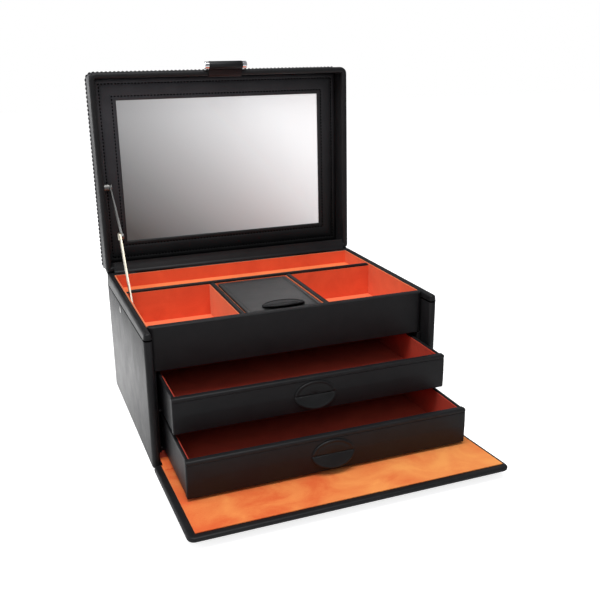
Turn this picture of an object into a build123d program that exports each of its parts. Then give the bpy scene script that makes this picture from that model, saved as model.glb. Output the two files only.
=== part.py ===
from build123d import *
import os
from math import atan2, cos, degrees, hypot, radians, sin

# A jewelry case that stands open: the lid with its mirror is up, both drawers are
# out and the front flap lies forward on the table.
# The origin is on the table, in the middle of the case's width, below the front
# edges of the side walls. X runs to the right, Y to the back and Z up.

# Case
WIDTH = 275.0
DEPTH = 198.0
HEIGHT = 124.0
WALL = 7.0
CORNER_BACK = 5.5
CORNER_FRONT = 5.0
EDGE_TOP = 1.6
EDGE_BOTTOM = 2.4
BASE = 6.0
LINING = 1.0
SEAM_Z = 115.4
SEAM_DEEP = 0.6
SEAM_TALL = 0.8
IN_X = WIDTH / 2 - WALL
BACK_Y = DEPTH - WALL

# Tray in the top of the case
RECESS = 15.0
PANEL = 7.0
PANEL_BOTTOM = 83.5
PANEL_TOP = 124.2
PANEL_CORNER = 5.0
TRAY_FLOOR = 5.0
TRAY_LINING_TOP = 123.0
DIVIDER_TOP = 122.2
SKIN = 0.6
LONG_DIVIDER_Y = 131.3
LONG_DIVIDER = 3.2
CROSS_DIVIDER = 5.0
CROSS_DIVIDER_X = (-43.7, 37.4)
STEP_TOP = 108.4

# Drawer bay
BAY_SIDE = 4.3
SHELF_BOTTOM = 45.2
SHELF = 2.4
RUNNER_WIDE = 13.0
RUNNER_TOP = 10.6

# Drawers: name, how far the front stands before the side walls, bottom, top
DRAWERS = (("upper", 37.3, 48.2, 80.0), ("lower", 76.0, 11.0, 43.8))
FRONT_WIDE = 250.8
FRONT_THICK = 6.5
BOX_WIDE = 248.8
BOX_BOARD = 3.0
BOX_FLOOR = 2.5
BOX_DROP = 0.6
DRAWER_LONG = 172.0
DRAWER_SKIN = 0.8
ROLL = 3.2

# Leather pulls
PULL_WIDE = 38.0
PULL_HALF = 12.6
PULL_THICK = 1.6
PULL_FLARE = 22.0
PULL_X = -1.5

# Lid
LID_OPEN = 92.0
LID_LONG = 200.2
LID_THICK = 29.0
LID_WALL = 6.0
LID_PANEL = 4.0
RIM_GAP = 0.4
LID_CORNER = 4.8
LID_EDGE = 2.6
RIM_EDGE = 1.0
FRAME_FACE = 21.0
MIRROR_WIDE = 220.0
MIRROR_LONG = 144.0
MIRROR_MID = 99.0
REBATE = 3.0
GLASS = 2.4

# Lid hinges
HINGE_X = 88.0
HINGE_KNUCKLE = 8.0
HINGE_GAP = 0.3
HINGE_COUNT = 5
BARREL_R = 2.0
HINGE_PIN_R = 0.8
RUNNING = 0.05
LEAF = 0.8
LEAF_DEEP = 6.5
CLEAR = 0.3

# Folding stay: pivots on the case and the lid, and the knuckle between them
STAY_CASE = (117.0, 110.0)
STAY_LID = (86.5, 15.0)
STAY_KNUCKLE = (160.5, 170.5)
STAY_PIN_R = 2.0
LOWER_ARM_X = -126.8
UPPER_ARM_X = -125.0
ARM = 1.4
LOWER_ARM_WIDE = 6.8
UPPER_ARM_WIDE = 5.4
KNOB_R = 3.8
RIVET_HEAD_R = 4.4
DIMPLE_R = 5.6
DIMPLE = 1.3

# Latch tab with its metal bar
TAB_WIDE = 35.0
TAB_THICK = 1.0
TAB_ROOT = 0.2
TAB_TAIL = 12.0
BAR_R = 3.0
BAR_LONG = 44.6
BAR_OUT = 4.4
BAR_DEEP = -1.5
LOOP = 1.2

# Front flap
FLAP_TILT = 3.3
FLAP_AXIS = (-3.0, 2.1)
FLAP_THICK = 4.2
FLAP_REACH = 125.4
FLAP_BORDER = 6.2
FLAP_BORDER_LEFT = 6.6
FLAP_BORDER_RIGHT = 3.6
FLAP_SKIN = 0.6
FLAP_CORNER = 6.0

# Removable travel case
TRAVEL_X = (-39.0, 33.0)
TRAVEL_Y = (24.8, 126.6)
TRAVEL_TOP = 118.0
TRAVEL_BOARD = 2.5
TRAVEL_LID = 3.0
TRAVEL_GAP = 0.4
TRAVEL_CORNER = 3.0
TRAVEL_PULL_WIDE = 41.0
TRAVEL_PULL_AT = (0.0, 36.5)
TRAVEL_FLARE = 14.0

os.makedirs("parts", exist_ok=True)

LID_PLANE = Plane(
    origin=(0, DEPTH, HEIGHT),
    x_dir=(1, 0, 0),
    z_dir=(0, sin(radians(LID_OPEN)), cos(radians(LID_OPEN))),
)
LID_UP = Axis((0, DEPTH, HEIGHT), tuple(LID_PLANE.z_dir))
FLAP_PLANE = Plane(
    origin=(0, *FLAP_AXIS),
    x_dir=(1, 0, 0),
    z_dir=(0, sin(radians(FLAP_TILT)), cos(radians(FLAP_TILT))),
)
FLAP_UP = Axis((0, *FLAP_AXIS), tuple(FLAP_PLANE.z_dir))
SIDES = (("left", -1), ("right", 1))


def middle(low, high):
    return (low + high) / 2


# Base board between the walls, and the lining that covers it
with BuildPart() as base_board:
    with BuildSketch(Plane.XY):
        with Locations((0, BACK_Y / 2)):
            Rectangle(2 * IN_X, BACK_Y)
    extrude(amount=BASE)
    fillet(base_board.edges().filter_by(Axis.X).group_by(Axis.Y)[0].sort_by(Axis.Z)[-1], 1.2)
base_board.part.label = "base_board"
export_step(base_board.part, "parts/base_board.step")

with BuildPart() as base_lining:
    with BuildSketch(Plane.XY.offset(BASE)):
        with Locations((0, BACK_Y / 2 + 0.6)):
            Rectangle(2 * IN_X, BACK_Y - 1.2)
    extrude(amount=LINING)
base_lining.part.label = "base_lining"
export_step(base_lining.part, "parts/base_lining.step")

# Side walls with a seam below the top edge. The left one carries the stay's rivet
# in a dimple.
for side, sign in SIDES:
    with BuildPart() as side_wall:
        with BuildSketch(Plane.XY) as outline:
            with Locations((sign * (IN_X + WALL / 2), BACK_Y / 2)):
                Rectangle(WALL, BACK_Y)
            front = outline.vertices().group_by(Axis.Y)[0]
            fillet(front.sort_by(lambda v: abs(v.X))[-1], CORNER_FRONT)
        extrude(amount=HEIGHT)
        for face, radius in ((-1, EDGE_TOP), (0, EDGE_BOTTOM)):
            rim = side_wall.faces().sort_by(Axis.Z)[face].edges()
            rim = rim.filter_by(lambda e: abs(e.center().X) > IN_X + 0.1 and e.center().Y < BACK_Y - 0.1)
            fillet(rim, radius)
        with Locations((sign * WIDTH / 2, DEPTH / 2, SEAM_Z)):
            Box(2 * SEAM_DEEP, DEPTH + 2, SEAM_TALL, mode=Mode.SUBTRACT)
        if side == "left":
            with BuildSketch(Plane.YZ.offset(-WIDTH / 2)):
                with Locations(STAY_CASE):
                    Circle(DIMPLE_R)
            extrude(amount=DIMPLE, mode=Mode.SUBTRACT)
            with BuildSketch(Plane.YZ.offset(-WIDTH / 2)):
                with Locations(STAY_CASE):
                    Circle(STAY_PIN_R)
            extrude(amount=WALL, mode=Mode.SUBTRACT)
    side_wall.part.label = f"{side}_wall"
    export_step(side_wall.part, f"parts/{side}_wall.step")


def knuckle_x(centre, index):
    """Low and high x of one knuckle in a hinge that is centred on this x."""
    low = centre + (index - HINGE_COUNT / 2) * HINGE_KNUCKLE
    return low + HINGE_GAP / 2, low + HINGE_KNUCKLE - HINGE_GAP / 2


HINGE_LONG = HINGE_COUNT * HINGE_KNUCKLE
TAB_START = BARREL_R + CLEAR + 0.1
HINGE_CENTRES = (-HINGE_X, HINGE_X)

# Back wall with the case's rounded corners, let in for the two hinges
with BuildPart() as back_wall:
    with BuildSketch(Plane.XY) as back_outline:
        with Locations((0, middle(BACK_Y, DEPTH))):
            Rectangle(WIDTH, WALL)
        fillet(back_outline.vertices().group_by(Axis.Y)[-1], CORNER_BACK)
    extrude(amount=HEIGHT)
    for face, radius in ((-1, EDGE_TOP), (0, EDGE_BOTTOM)):
        rim = back_wall.faces().sort_by(Axis.Z)[face].edges()
        fillet(rim.sort_by(Axis.Y)[1:], radius)
    with Locations((0, DEPTH, SEAM_Z)):
        Box(WIDTH + 2, 2 * SEAM_DEEP, SEAM_TALL, mode=Mode.SUBTRACT)
    for x in HINGE_CENTRES:
        with BuildSketch(Plane.YZ.offset(x - HINGE_LONG / 2)):
            with Locations((DEPTH, HEIGHT)):
                Circle(BARREL_R + CLEAR)
        extrude(amount=HINGE_LONG, mode=Mode.SUBTRACT)
        with Locations((x, DEPTH - LEAF_DEEP / 2, HEIGHT - LEAF / 2)):
            Box(HINGE_LONG, LEAF_DEEP, LEAF, mode=Mode.SUBTRACT)
back_wall.part.label = "back_wall"
export_step(back_wall.part, "parts/back_wall.step")

# Sides of the drawer bay, the shelf between the drawers, and the runners
for side, sign in SIDES:
    with BuildPart() as bay_side:
        with BuildSketch(Plane.XY.offset(BASE + LINING)):
            with Locations((sign * (IN_X - BAY_SIDE / 2), middle(RECESS, BACK_Y))):
                Rectangle(BAY_SIDE, BACK_Y - RECESS)
        extrude(amount=PANEL_BOTTOM - BASE - LINING)
        fillet(bay_side.edges().filter_by(Axis.Z).group_by(Axis.Y)[0], 1.0)
    bay_side.part.label = f"bay_side_{side}"
    export_step(bay_side.part, f"parts/bay_side_{side}.step")

    with BuildPart() as runner:
        with BuildSketch(Plane.XY.offset(BASE + LINING)):
            with Locations((sign * (IN_X - BAY_SIDE - RUNNER_WIDE / 2), middle(RECESS + 3, BACK_Y))):
                Rectangle(RUNNER_WIDE, BACK_Y - RECESS - 3)
        extrude(amount=RUNNER_TOP - BASE - LINING)
        fillet(runner.edges().filter_by(Axis.X).group_by(Axis.Y)[0].sort_by(Axis.Z)[-1], 1.5)
    runner.part.label = f"drawer_runner_{side}"
    export_step(runner.part, f"parts/drawer_runner_{side}.step")

BAY_X = IN_X - BAY_SIDE
with BuildPart() as drawer_shelf:
    with BuildSketch(Plane.XY.offset(SHELF_BOTTOM)):
        with Locations((0, middle(RECESS + 1, BACK_Y))):
            Rectangle(2 * BAY_X, BACK_Y - RECESS - 1)
    extrude(amount=SHELF)
    fillet(drawer_shelf.edges().filter_by(Axis.X).group_by(Axis.Y)[0], 0.8)
drawer_shelf.part.label = "drawer_shelf"
export_step(drawer_shelf.part, "parts/drawer_shelf.step")

# Front panel of the tray, set back from the side walls
with BuildPart() as front_panel:
    with BuildSketch(Plane.XY.offset(PANEL_BOTTOM)) as panel_outline:
        with Locations((0, RECESS + PANEL / 2)):
            Rectangle(2 * IN_X, PANEL)
        fillet(panel_outline.vertices().group_by(Axis.Y)[0], PANEL_CORNER)
    extrude(amount=PANEL_TOP - PANEL_BOTTOM)
    fillet(front_panel.faces().sort_by(Axis.Z)[-1].edges(), 1.8)
    fillet(front_panel.edges().filter_by(Axis.X).group_by(Axis.Z)[0].sort_by(Axis.Y)[0], 1.2)
front_panel.part.label = "front_panel"
export_step(front_panel.part, "parts/front_panel.step")

TRAY_FRONT = RECESS + PANEL
FLOOR_TOP = PANEL_BOTTOM + TRAY_FLOOR
with BuildPart() as tray_floor:
    with BuildSketch(Plane.XY.offset(PANEL_BOTTOM)):
        with Locations((0, middle(TRAY_FRONT, BACK_Y))):
            Rectangle(2 * IN_X, BACK_Y - TRAY_FRONT)
    extrude(amount=TRAY_FLOOR)
tray_floor.part.label = "tray_floor"
export_step(tray_floor.part, "parts/tray_floor.step")

# Lining of the tray, an open box; the stay's rivet passes through its left side
LINED_X = IN_X - LINING
LINED_FRONT = TRAY_FRONT + LINING
LINED_BACK = BACK_Y - LINING
LINED_FLOOR = FLOOR_TOP + LINING
with BuildPart() as tray_lining:
    with BuildSketch(Plane.XY.offset(FLOOR_TOP)):
        with Locations((0, middle(TRAY_FRONT, BACK_Y))):
            Rectangle(2 * IN_X, BACK_Y - TRAY_FRONT)
    extrude(amount=TRAY_LINING_TOP - FLOOR_TOP)
    with BuildSketch(Plane.XY.offset(LINED_FLOOR)):
        with Locations((0, middle(LINED_FRONT, LINED_BACK))):
            RectangleRounded(2 * LINED_X, LINED_BACK - LINED_FRONT, 1.0)
    extrude(amount=TRAY_LINING_TOP - LINED_FLOOR, mode=Mode.SUBTRACT)
    with BuildSketch(Plane.YZ.offset(-IN_X)):
        with Locations(STAY_CASE):
            Circle(STAY_PIN_R)
    extrude(amount=LINING, mode=Mode.SUBTRACT)
tray_lining.part.label = "tray_lining"
export_step(tray_lining.part, "parts/tray_lining.step")

# Long divider across the tray, and the raised floor of the compartment behind it
DIVIDER_REACH = LINED_X
LONG_FRONT = LONG_DIVIDER_Y - LONG_DIVIDER / 2
LONG_BACK = LONG_DIVIDER_Y + LONG_DIVIDER / 2
with BuildPart() as long_divider:
    with BuildSketch(Plane.XY.offset(LINED_FLOOR)):
        with Locations((0, LONG_DIVIDER_Y)):
            Rectangle(2 * DIVIDER_REACH, LONG_DIVIDER)
    extrude(amount=DIVIDER_TOP - LINED_FLOOR)
    fillet(long_divider.edges().filter_by(Axis.X).group_by(Axis.Z)[-1], 1.2)
long_divider.part.label = "long_divider"
export_step(long_divider.part, "parts/long_divider.step")

with BuildPart() as rear_tray_step:
    with BuildSketch(Plane.XY.offset(LINED_FLOOR)):
        with Locations((0, middle(LONG_BACK + SKIN, LINED_BACK))):
            RectangleRounded(2 * LINED_X, LINED_BACK - LONG_BACK - SKIN, 1.0)
    extrude(amount=STEP_TOP - LINED_FLOOR)
rear_tray_step.part.label = "rear_tray_step"
export_step(rear_tray_step.part, "parts/rear_tray_step.step")

with BuildPart() as rear_step_lining:
    with BuildSketch(Plane.XY.offset(STEP_TOP)):
        with Locations((0, middle(LONG_BACK + SKIN, LINED_BACK))):
            RectangleRounded(2 * LINED_X, LINED_BACK - LONG_BACK - SKIN, 1.0)
    extrude(amount=LINING)
rear_step_lining.part.label = "rear_step_lining"
export_step(rear_step_lining.part, "parts/rear_step_lining.step")

# Lining on both faces of the long divider
CROSS_HALF = CROSS_DIVIDER / 2 + SKIN
DIVIDER_SKIN_TOP = DIVIDER_TOP - 1.4
with BuildPart() as long_divider_lining:
    edges_x = [-DIVIDER_REACH, *(x + s * CROSS_HALF for x in CROSS_DIVIDER_X for s in (-1, 1)), DIVIDER_REACH]
    with BuildSketch(Plane.XY.offset(LINED_FLOOR)):
        for low, high in zip(edges_x[::2], edges_x[1::2]):
            with Locations((middle(low, high), LONG_FRONT - SKIN / 2)):
                Rectangle(high - low, SKIN)
        with Locations((0, LONG_BACK + SKIN / 2)):
            Rectangle(2 * DIVIDER_REACH, SKIN)
    extrude(amount=DIVIDER_SKIN_TOP - LINED_FLOOR)
long_divider_lining.part.label = "long_divider_lining"
export_step(long_divider_lining.part, "parts/long_divider_lining.step")

# Cross dividers with a lining on both faces
for (side, _), x in zip(SIDES, CROSS_DIVIDER_X):
    with BuildPart() as cross_divider:
        with BuildSketch(Plane.XY.offset(LINED_FLOOR)):
            with Locations((x, middle(LINED_FRONT, LONG_FRONT))):
                Rectangle(CROSS_DIVIDER, LONG_FRONT - LINED_FRONT)
        extrude(amount=DIVIDER_TOP - LINED_FLOOR)
        fillet(cross_divider.edges().filter_by(Axis.Y).group_by(Axis.Z)[-1], 1.6)
    cross_divider.part.label = f"cross_divider_{side}"
    export_step(cross_divider.part, f"parts/cross_divider_{side}.step")

    with BuildPart() as cross_lining:
        with BuildSketch(Plane.XY.offset(LINED_FLOOR)):
            for face in (-1, 1):
                with Locations((x + face * (CROSS_DIVIDER + SKIN) / 2, middle(LINED_FRONT, LONG_FRONT))):
                    Rectangle(SKIN, LONG_FRONT - LINED_FRONT)
        extrude(amount=DIVIDER_SKIN_TOP - LINED_FLOOR)
    cross_lining.part.label = f"cross_divider_{side}_lining"
    export_step(cross_lining.part, f"parts/cross_divider_{side}_lining.step")

# Rivet that carries the stay on the case: a domed head in the dimple, a shank
# through the wall, a collar, and a small head that keeps the arm on
with BuildPart() as stay_rivet_case:
    with BuildSketch(Plane.YZ.offset(DIMPLE - WIDTH / 2)):
        with Locations(STAY_CASE):
            Circle(STAY_PIN_R)
    extrude(amount=UPPER_ARM_X + 0.6 + WIDTH / 2 - DIMPLE)
    with BuildSketch(Plane.YZ.offset(DIMPLE - WIDTH / 2)):
        with Locations(STAY_CASE):
            Circle(RIVET_HEAD_R)
    extrude(amount=-DIMPLE)
    fillet(stay_rivet_case.faces().sort_by(Axis.X)[0].edges(), 1.1)
    with BuildSketch(Plane.YZ.offset(-LINED_X)):
        with Locations(STAY_CASE):
            Circle(3.6)
    extrude(amount=LOWER_ARM_X - CLEAR + LINED_X)
    with BuildSketch(Plane.YZ.offset(LOWER_ARM_X + ARM + CLEAR)):
        with Locations(STAY_CASE):
            Circle(3.4)
    extrude(amount=0.8)
stay_rivet_case.part.label = "stay_rivet_case"
export_step(stay_rivet_case.part, "parts/stay_rivet_case.step")

# Hinges on the back wall: leaves let into the rims, knuckles on the lid's axis
for (side, _), x in zip(SIDES, HINGE_CENTRES):
    with BuildPart() as leaf_case:
        with Locations((x, DEPTH - middle(TAB_START, LEAF_DEEP), HEIGHT - LEAF / 2)):
            Box(HINGE_LONG, LEAF_DEEP - TAB_START, LEAF)
        for index in range(0, HINGE_COUNT, 2):
            low, high = knuckle_x(x, index)
            with Locations((middle(low, high), DEPTH - TAB_START / 2, HEIGHT - LEAF / 2)):
                Box(high - low, TAB_START, LEAF)
            with BuildSketch(Plane.YZ.offset(low)):
                with Locations((DEPTH, HEIGHT)):
                    Circle(BARREL_R)
            extrude(amount=high - low)
        with BuildSketch(Plane.YZ.offset(x - HINGE_LONG / 2 - 1)):
            with Locations((DEPTH, HEIGHT)):
                Circle(HINGE_PIN_R)
        extrude(amount=HINGE_LONG + 2, mode=Mode.SUBTRACT)
    leaf_case.part.label = f"hinge_leaf_case_{side}"
    export_step(leaf_case.part, f"parts/hinge_leaf_case_{side}.step")

    with BuildPart() as hinge_pin:
        with BuildSketch(Plane.YZ.offset(x - HINGE_LONG / 2 + HINGE_GAP / 2)):
            with Locations((DEPTH, HEIGHT)):
                Circle(HINGE_PIN_R)
        extrude(amount=HINGE_LONG - HINGE_GAP)
    hinge_pin.part.label = f"hinge_pin_{side}"
    export_step(hinge_pin.part, f"parts/hinge_pin_{side}.step")

    with BuildPart() as leaf_lid:
        with BuildSketch(LID_PLANE.offset(RIM_GAP)):
            with Locations((x, -middle(TAB_START, LEAF_DEEP))):
                Rectangle(HINGE_LONG, LEAF_DEEP - TAB_START)
            for index in range(1, HINGE_COUNT, 2):
                low, high = knuckle_x(x, index)
                with Locations((middle(low, high), -TAB_START / 2)):
                    Rectangle(high - low, TAB_START)
        extrude(amount=LEAF)
        for index in range(1, HINGE_COUNT, 2):
            low, high = knuckle_x(x, index)
            with BuildSketch(Plane.YZ.offset(low)):
                with Locations((DEPTH, HEIGHT)):
                    Circle(BARREL_R)
            extrude(amount=high - low)
        with BuildSketch(Plane.YZ.offset(x - HINGE_LONG / 2 - 1)):
            with Locations((DEPTH, HEIGHT)):
                Circle(HINGE_PIN_R + RUNNING)
        extrude(amount=HINGE_LONG + 2, mode=Mode.SUBTRACT)
    leaf_lid.part.label = f"hinge_leaf_lid_{side}"
    export_step(leaf_lid.part, f"parts/hinge_leaf_lid_{side}.step")

# Lid walls, built on the lid's own plane: local y is the distance from the hinge
# towards the back, so the lid lies on its negative side
LID_INNER = LID_THICK - LID_PANEL
LID_IN_X = WIDTH / 2 - LID_WALL
LID_ALONG = Axis((0, DEPTH, HEIGHT), tuple(LID_PLANE.y_dir))
for side, sign in SIDES:
    with BuildPart() as lid_side:
        with BuildSketch(LID_PLANE.offset(RIM_GAP)):
            with Locations((sign * (LID_IN_X + LID_WALL / 2), -LID_LONG / 2)):
                Rectangle(LID_WALL, LID_LONG - 2 * LID_WALL)
        extrude(amount=LID_INNER - RIM_GAP)
        rim = lid_side.faces().sort_by(LID_UP)[0].edges()
        fillet(rim.sort_by(lambda e: abs(e.center().X))[-1], RIM_EDGE)
    lid_side.part.label = f"lid_wall_{side}"
    export_step(lid_side.part, f"parts/lid_wall_{side}.step")

with BuildPart() as lid_wall_front:
    with BuildSketch(LID_PLANE.offset(RIM_GAP)):
        with Locations((0, -LID_LONG + LID_WALL / 2)):
            Rectangle(WIDTH, LID_WALL)
    extrude(amount=LID_INNER - RIM_GAP)
    fillet(lid_wall_front.edges().filter_by(LID_UP).group_by(LID_ALONG)[0], LID_CORNER)
    rim = lid_wall_front.faces().sort_by(LID_UP)[0].edges()
    fillet(rim.sort_by(LID_ALONG)[:-1], RIM_EDGE)
lid_wall_front.part.label = "lid_wall_front"
export_step(lid_wall_front.part, "parts/lid_wall_front.step")

with BuildPart() as lid_wall_back:
    with BuildSketch(LID_PLANE.offset(RIM_GAP)):
        with Locations((0, -LID_WALL / 2)):
            Rectangle(WIDTH, LID_WALL)
    extrude(amount=LID_INNER - RIM_GAP)
    fillet(lid_wall_back.edges().filter_by(LID_UP).group_by(LID_ALONG)[-1], LID_CORNER)
    rim = lid_wall_back.faces().sort_by(LID_UP)[0].edges()
    fillet(rim.sort_by(LID_ALONG)[1:], RIM_EDGE)
    for x in HINGE_CENTRES:
        with BuildSketch(Plane.YZ.offset(x - HINGE_LONG / 2)):
            with Locations((DEPTH, HEIGHT)):
                Circle(BARREL_R + CLEAR)
        extrude(amount=HINGE_LONG, mode=Mode.SUBTRACT)
        with BuildSketch(LID_PLANE.offset(RIM_GAP)):
            with Locations((x, -LEAF_DEEP / 2)):
                Rectangle(HINGE_LONG, LEAF_DEEP)
        extrude(amount=LEAF, mode=Mode.SUBTRACT)
lid_wall_back.part.label = "lid_wall_back"
export_step(lid_wall_back.part, "parts/lid_wall_back.step")

# Top panel of the lid
with BuildPart() as lid_panel:
    with BuildSketch(LID_PLANE.offset(LID_INNER)):
        with Locations((0, -LID_LONG / 2)):
            RectangleRounded(WIDTH, LID_LONG, LID_CORNER)
    extrude(amount=LID_PANEL)
    fillet(lid_panel.faces().sort_by(LID_UP)[-1].edges(), LID_EDGE)
lid_panel.part.label = "lid_panel"
export_step(lid_panel.part, "parts/lid_panel.step")

# Padded frame in the lid, with a rebate that holds the mirror
with BuildPart() as mirror_frame:
    with BuildSketch(LID_PLANE.offset(FRAME_FACE)):
        with Locations((0, -LID_LONG / 2)):
            Rectangle(2 * LID_IN_X, LID_LONG - 2 * LID_WALL)
        with Locations((0, -MIRROR_MID)):
            RectangleRounded(MIRROR_WIDE, MIRROR_LONG, 1.5, mode=Mode.SUBTRACT)
    extrude(amount=LID_INNER - FRAME_FACE)
    with BuildSketch(LID_PLANE.offset(LID_INNER - GLASS)):
        with Locations((0, -MIRROR_MID)):
            Rectangle(MIRROR_WIDE + 2 * REBATE, MIRROR_LONG + 2 * REBATE)
    extrude(amount=GLASS, mode=Mode.SUBTRACT)
    face = mirror_frame.faces().sort_by(LID_UP)[0]
    fillet(face.inner_wires()[0].edges(), 0.8)
mirror_frame.part.label = "mirror_frame"
export_step(mirror_frame.part, "parts/mirror_frame.step")

with BuildPart() as mirror_glass:
    with BuildSketch(LID_PLANE.offset(LID_INNER - GLASS)):
        with Locations((0, -MIRROR_MID)):
            Rectangle(MIRROR_WIDE + 2 * REBATE, MIRROR_LONG + 2 * REBATE)
    extrude(amount=GLASS)
mirror_glass.part.label = "mirror_glass"
export_step(mirror_glass.part, "parts/mirror_glass.step")

# Where the stay's pivot on the lid stands with the lid open: distance along the
# lid from the hinge, and depth above the rim
STAY_LID_Y = DEPTH - STAY_LID[0] * cos(radians(LID_OPEN)) + STAY_LID[1] * sin(radians(LID_OPEN))
STAY_LID_Z = HEIGHT + STAY_LID[0] * sin(radians(LID_OPEN)) + STAY_LID[1] * cos(radians(LID_OPEN))
STAY_LID_AT = (STAY_LID_Y, STAY_LID_Z)

with BuildPart() as stay_rivet_lid:
    with BuildSketch(Plane.YZ.offset(-LID_IN_X)):
        with Locations(STAY_LID_AT):
            Circle(STAY_PIN_R)
    extrude(amount=UPPER_ARM_X + ARM + CLEAR + 0.9 + LID_IN_X)
    with BuildSketch(Plane.YZ.offset(-LID_IN_X)):
        with Locations(STAY_LID_AT):
            Circle(3.8)
    extrude(amount=UPPER_ARM_X - CLEAR + LID_IN_X)
    with BuildSketch(Plane.YZ.offset(UPPER_ARM_X + ARM + CLEAR)):
        with Locations(STAY_LID_AT):
            Circle(3.2)
    extrude(amount=0.9)
    fillet(stay_rivet_lid.faces().sort_by(Axis.X)[-1].edges(), 0.5)
stay_rivet_lid.part.label = "stay_rivet_lid"
export_step(stay_rivet_lid.part, "parts/stay_rivet_lid.step")


def arm_centre(start, end):
    return middle(start[0], end[0]), middle(start[1], end[1])


def arm_length(start, end):
    return hypot(end[0] - start[0], end[1] - start[1])


def arm_angle(start, end):
    return degrees(atan2(end[1] - start[1], end[0] - start[0]))


# Arms of the stay: flat strips in two layers with a dome at the knuckle
with BuildPart() as stay_lower_arm:
    with BuildSketch(Plane.YZ.offset(LOWER_ARM_X)):
        with Locations(arm_centre(STAY_CASE, STAY_KNUCKLE)):
            SlotCenterToCenter(
                arm_length(STAY_CASE, STAY_KNUCKLE),
                LOWER_ARM_WIDE,
                rotation=arm_angle(STAY_CASE, STAY_KNUCKLE),
            )
        with Locations(STAY_CASE):
            Circle(STAY_PIN_R + RUNNING, mode=Mode.SUBTRACT)
    extrude(amount=ARM)
    with BuildSketch(Plane.YZ.offset(LOWER_ARM_X)):
        with Locations(STAY_KNUCKLE):
            Circle(KNOB_R)
    extrude(amount=-1.2)
    fillet(stay_lower_arm.faces().sort_by(Axis.X)[0].edges(), 0.9)
stay_lower_arm.part.label = "stay_lower_arm"
export_step(stay_lower_arm.part, "parts/stay_lower_arm.step")

with BuildPart() as stay_upper_arm:
    with BuildSketch(Plane.YZ.offset(UPPER_ARM_X)):
        with Locations(arm_centre(STAY_KNUCKLE, STAY_LID_AT)):
            SlotCenterToCenter(
                arm_length(STAY_KNUCKLE, STAY_LID_AT),
                UPPER_ARM_WIDE,
                rotation=arm_angle(STAY_KNUCKLE, STAY_LID_AT),
            )
        with Locations(STAY_LID_AT):
            Circle(STAY_PIN_R + RUNNING, mode=Mode.SUBTRACT)
    extrude(amount=ARM)
    with BuildSketch(Plane.YZ.offset(UPPER_ARM_X + ARM)):
        with Locations(STAY_KNUCKLE):
            Circle(KNOB_R - 0.8)
    extrude(amount=1.0)
    fillet(stay_upper_arm.faces().sort_by(Axis.X)[-1].edges(), 0.7)
stay_upper_arm.part.label = "stay_upper_arm"
export_step(stay_upper_arm.part, "parts/stay_upper_arm.step")

# Latch: the glued root of the strap on the lid's rim, then the loop and its bar
with BuildPart() as latch_strap_root:
    with BuildSketch(LID_PLANE.offset(RIM_GAP - TAB_THICK)):
        with Locations((0, -middle(LID_LONG - LID_WALL - TAB_THICK, LID_LONG - TAB_ROOT))):
            Rectangle(TAB_WIDE, LID_WALL + TAB_THICK - TAB_ROOT)
    extrude(amount=TAB_THICK)
    with BuildSketch(LID_PLANE.offset(RIM_GAP)):
        with Locations((0, -(LID_LONG - LID_WALL - TAB_THICK / 2))):
            Rectangle(TAB_WIDE, TAB_THICK)
    extrude(amount=TAB_TAIL)
latch_strap_root.part.label = "latch_strap_root"
export_step(latch_strap_root.part, "parts/latch_strap_root.step")

# The loop's axis lies BAR_OUT before the lid's front wall, and the strap runs into
# it in line with the glued root
LOOP_R = BAR_R + LOOP
LOOP_AT = (
    DEPTH - (LID_LONG + BAR_OUT) * cos(radians(LID_OPEN)) + BAR_DEEP * sin(radians(LID_OPEN)),
    HEIGHT + (LID_LONG + BAR_OUT) * sin(radians(LID_OPEN)) + BAR_DEEP * cos(radians(LID_OPEN)),
)
with BuildPart() as latch_loop:
    with BuildSketch(Plane.YZ.offset(-TAB_WIDE / 2)):
        with Locations(LOOP_AT):
            Circle(LOOP_R)
    extrude(amount=TAB_WIDE)
    with BuildSketch(LID_PLANE.offset(RIM_GAP - TAB_THICK)):
        with Locations((0, -middle(LID_LONG + TAB_ROOT, LID_LONG + BAR_OUT))):
            Rectangle(TAB_WIDE, BAR_OUT - TAB_ROOT)
    extrude(amount=TAB_THICK)
    with BuildSketch(Plane.YZ.offset(-TAB_WIDE / 2)):
        with Locations(LOOP_AT):
            Circle(BAR_R)
    extrude(amount=TAB_WIDE, mode=Mode.SUBTRACT)
latch_loop.part.label = "latch_loop"
export_step(latch_loop.part, "parts/latch_loop.step")

with BuildPart() as latch_bar:
    with BuildSketch(Plane.YZ.offset(-BAR_LONG / 2)):
        with Locations(LOOP_AT):
            Circle(BAR_R)
    extrude(amount=BAR_LONG)
    for low in (-BAR_LONG / 2, TAB_WIDE / 2 + 0.3):
        with BuildSketch(Plane.YZ.offset(low)):
            with Locations(LOOP_AT):
                Circle(BAR_R + 0.8)
        extrude(amount=(BAR_LONG - TAB_WIDE) / 2 - 0.3)
    fillet(latch_bar.faces().sort_by(Axis.X)[0].edges(), 0.9)
    fillet(latch_bar.faces().sort_by(Axis.X)[-1].edges(), 0.9)
latch_bar.part.label = "latch_bar"
export_step(latch_bar.part, "parts/latch_bar.step")

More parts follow.
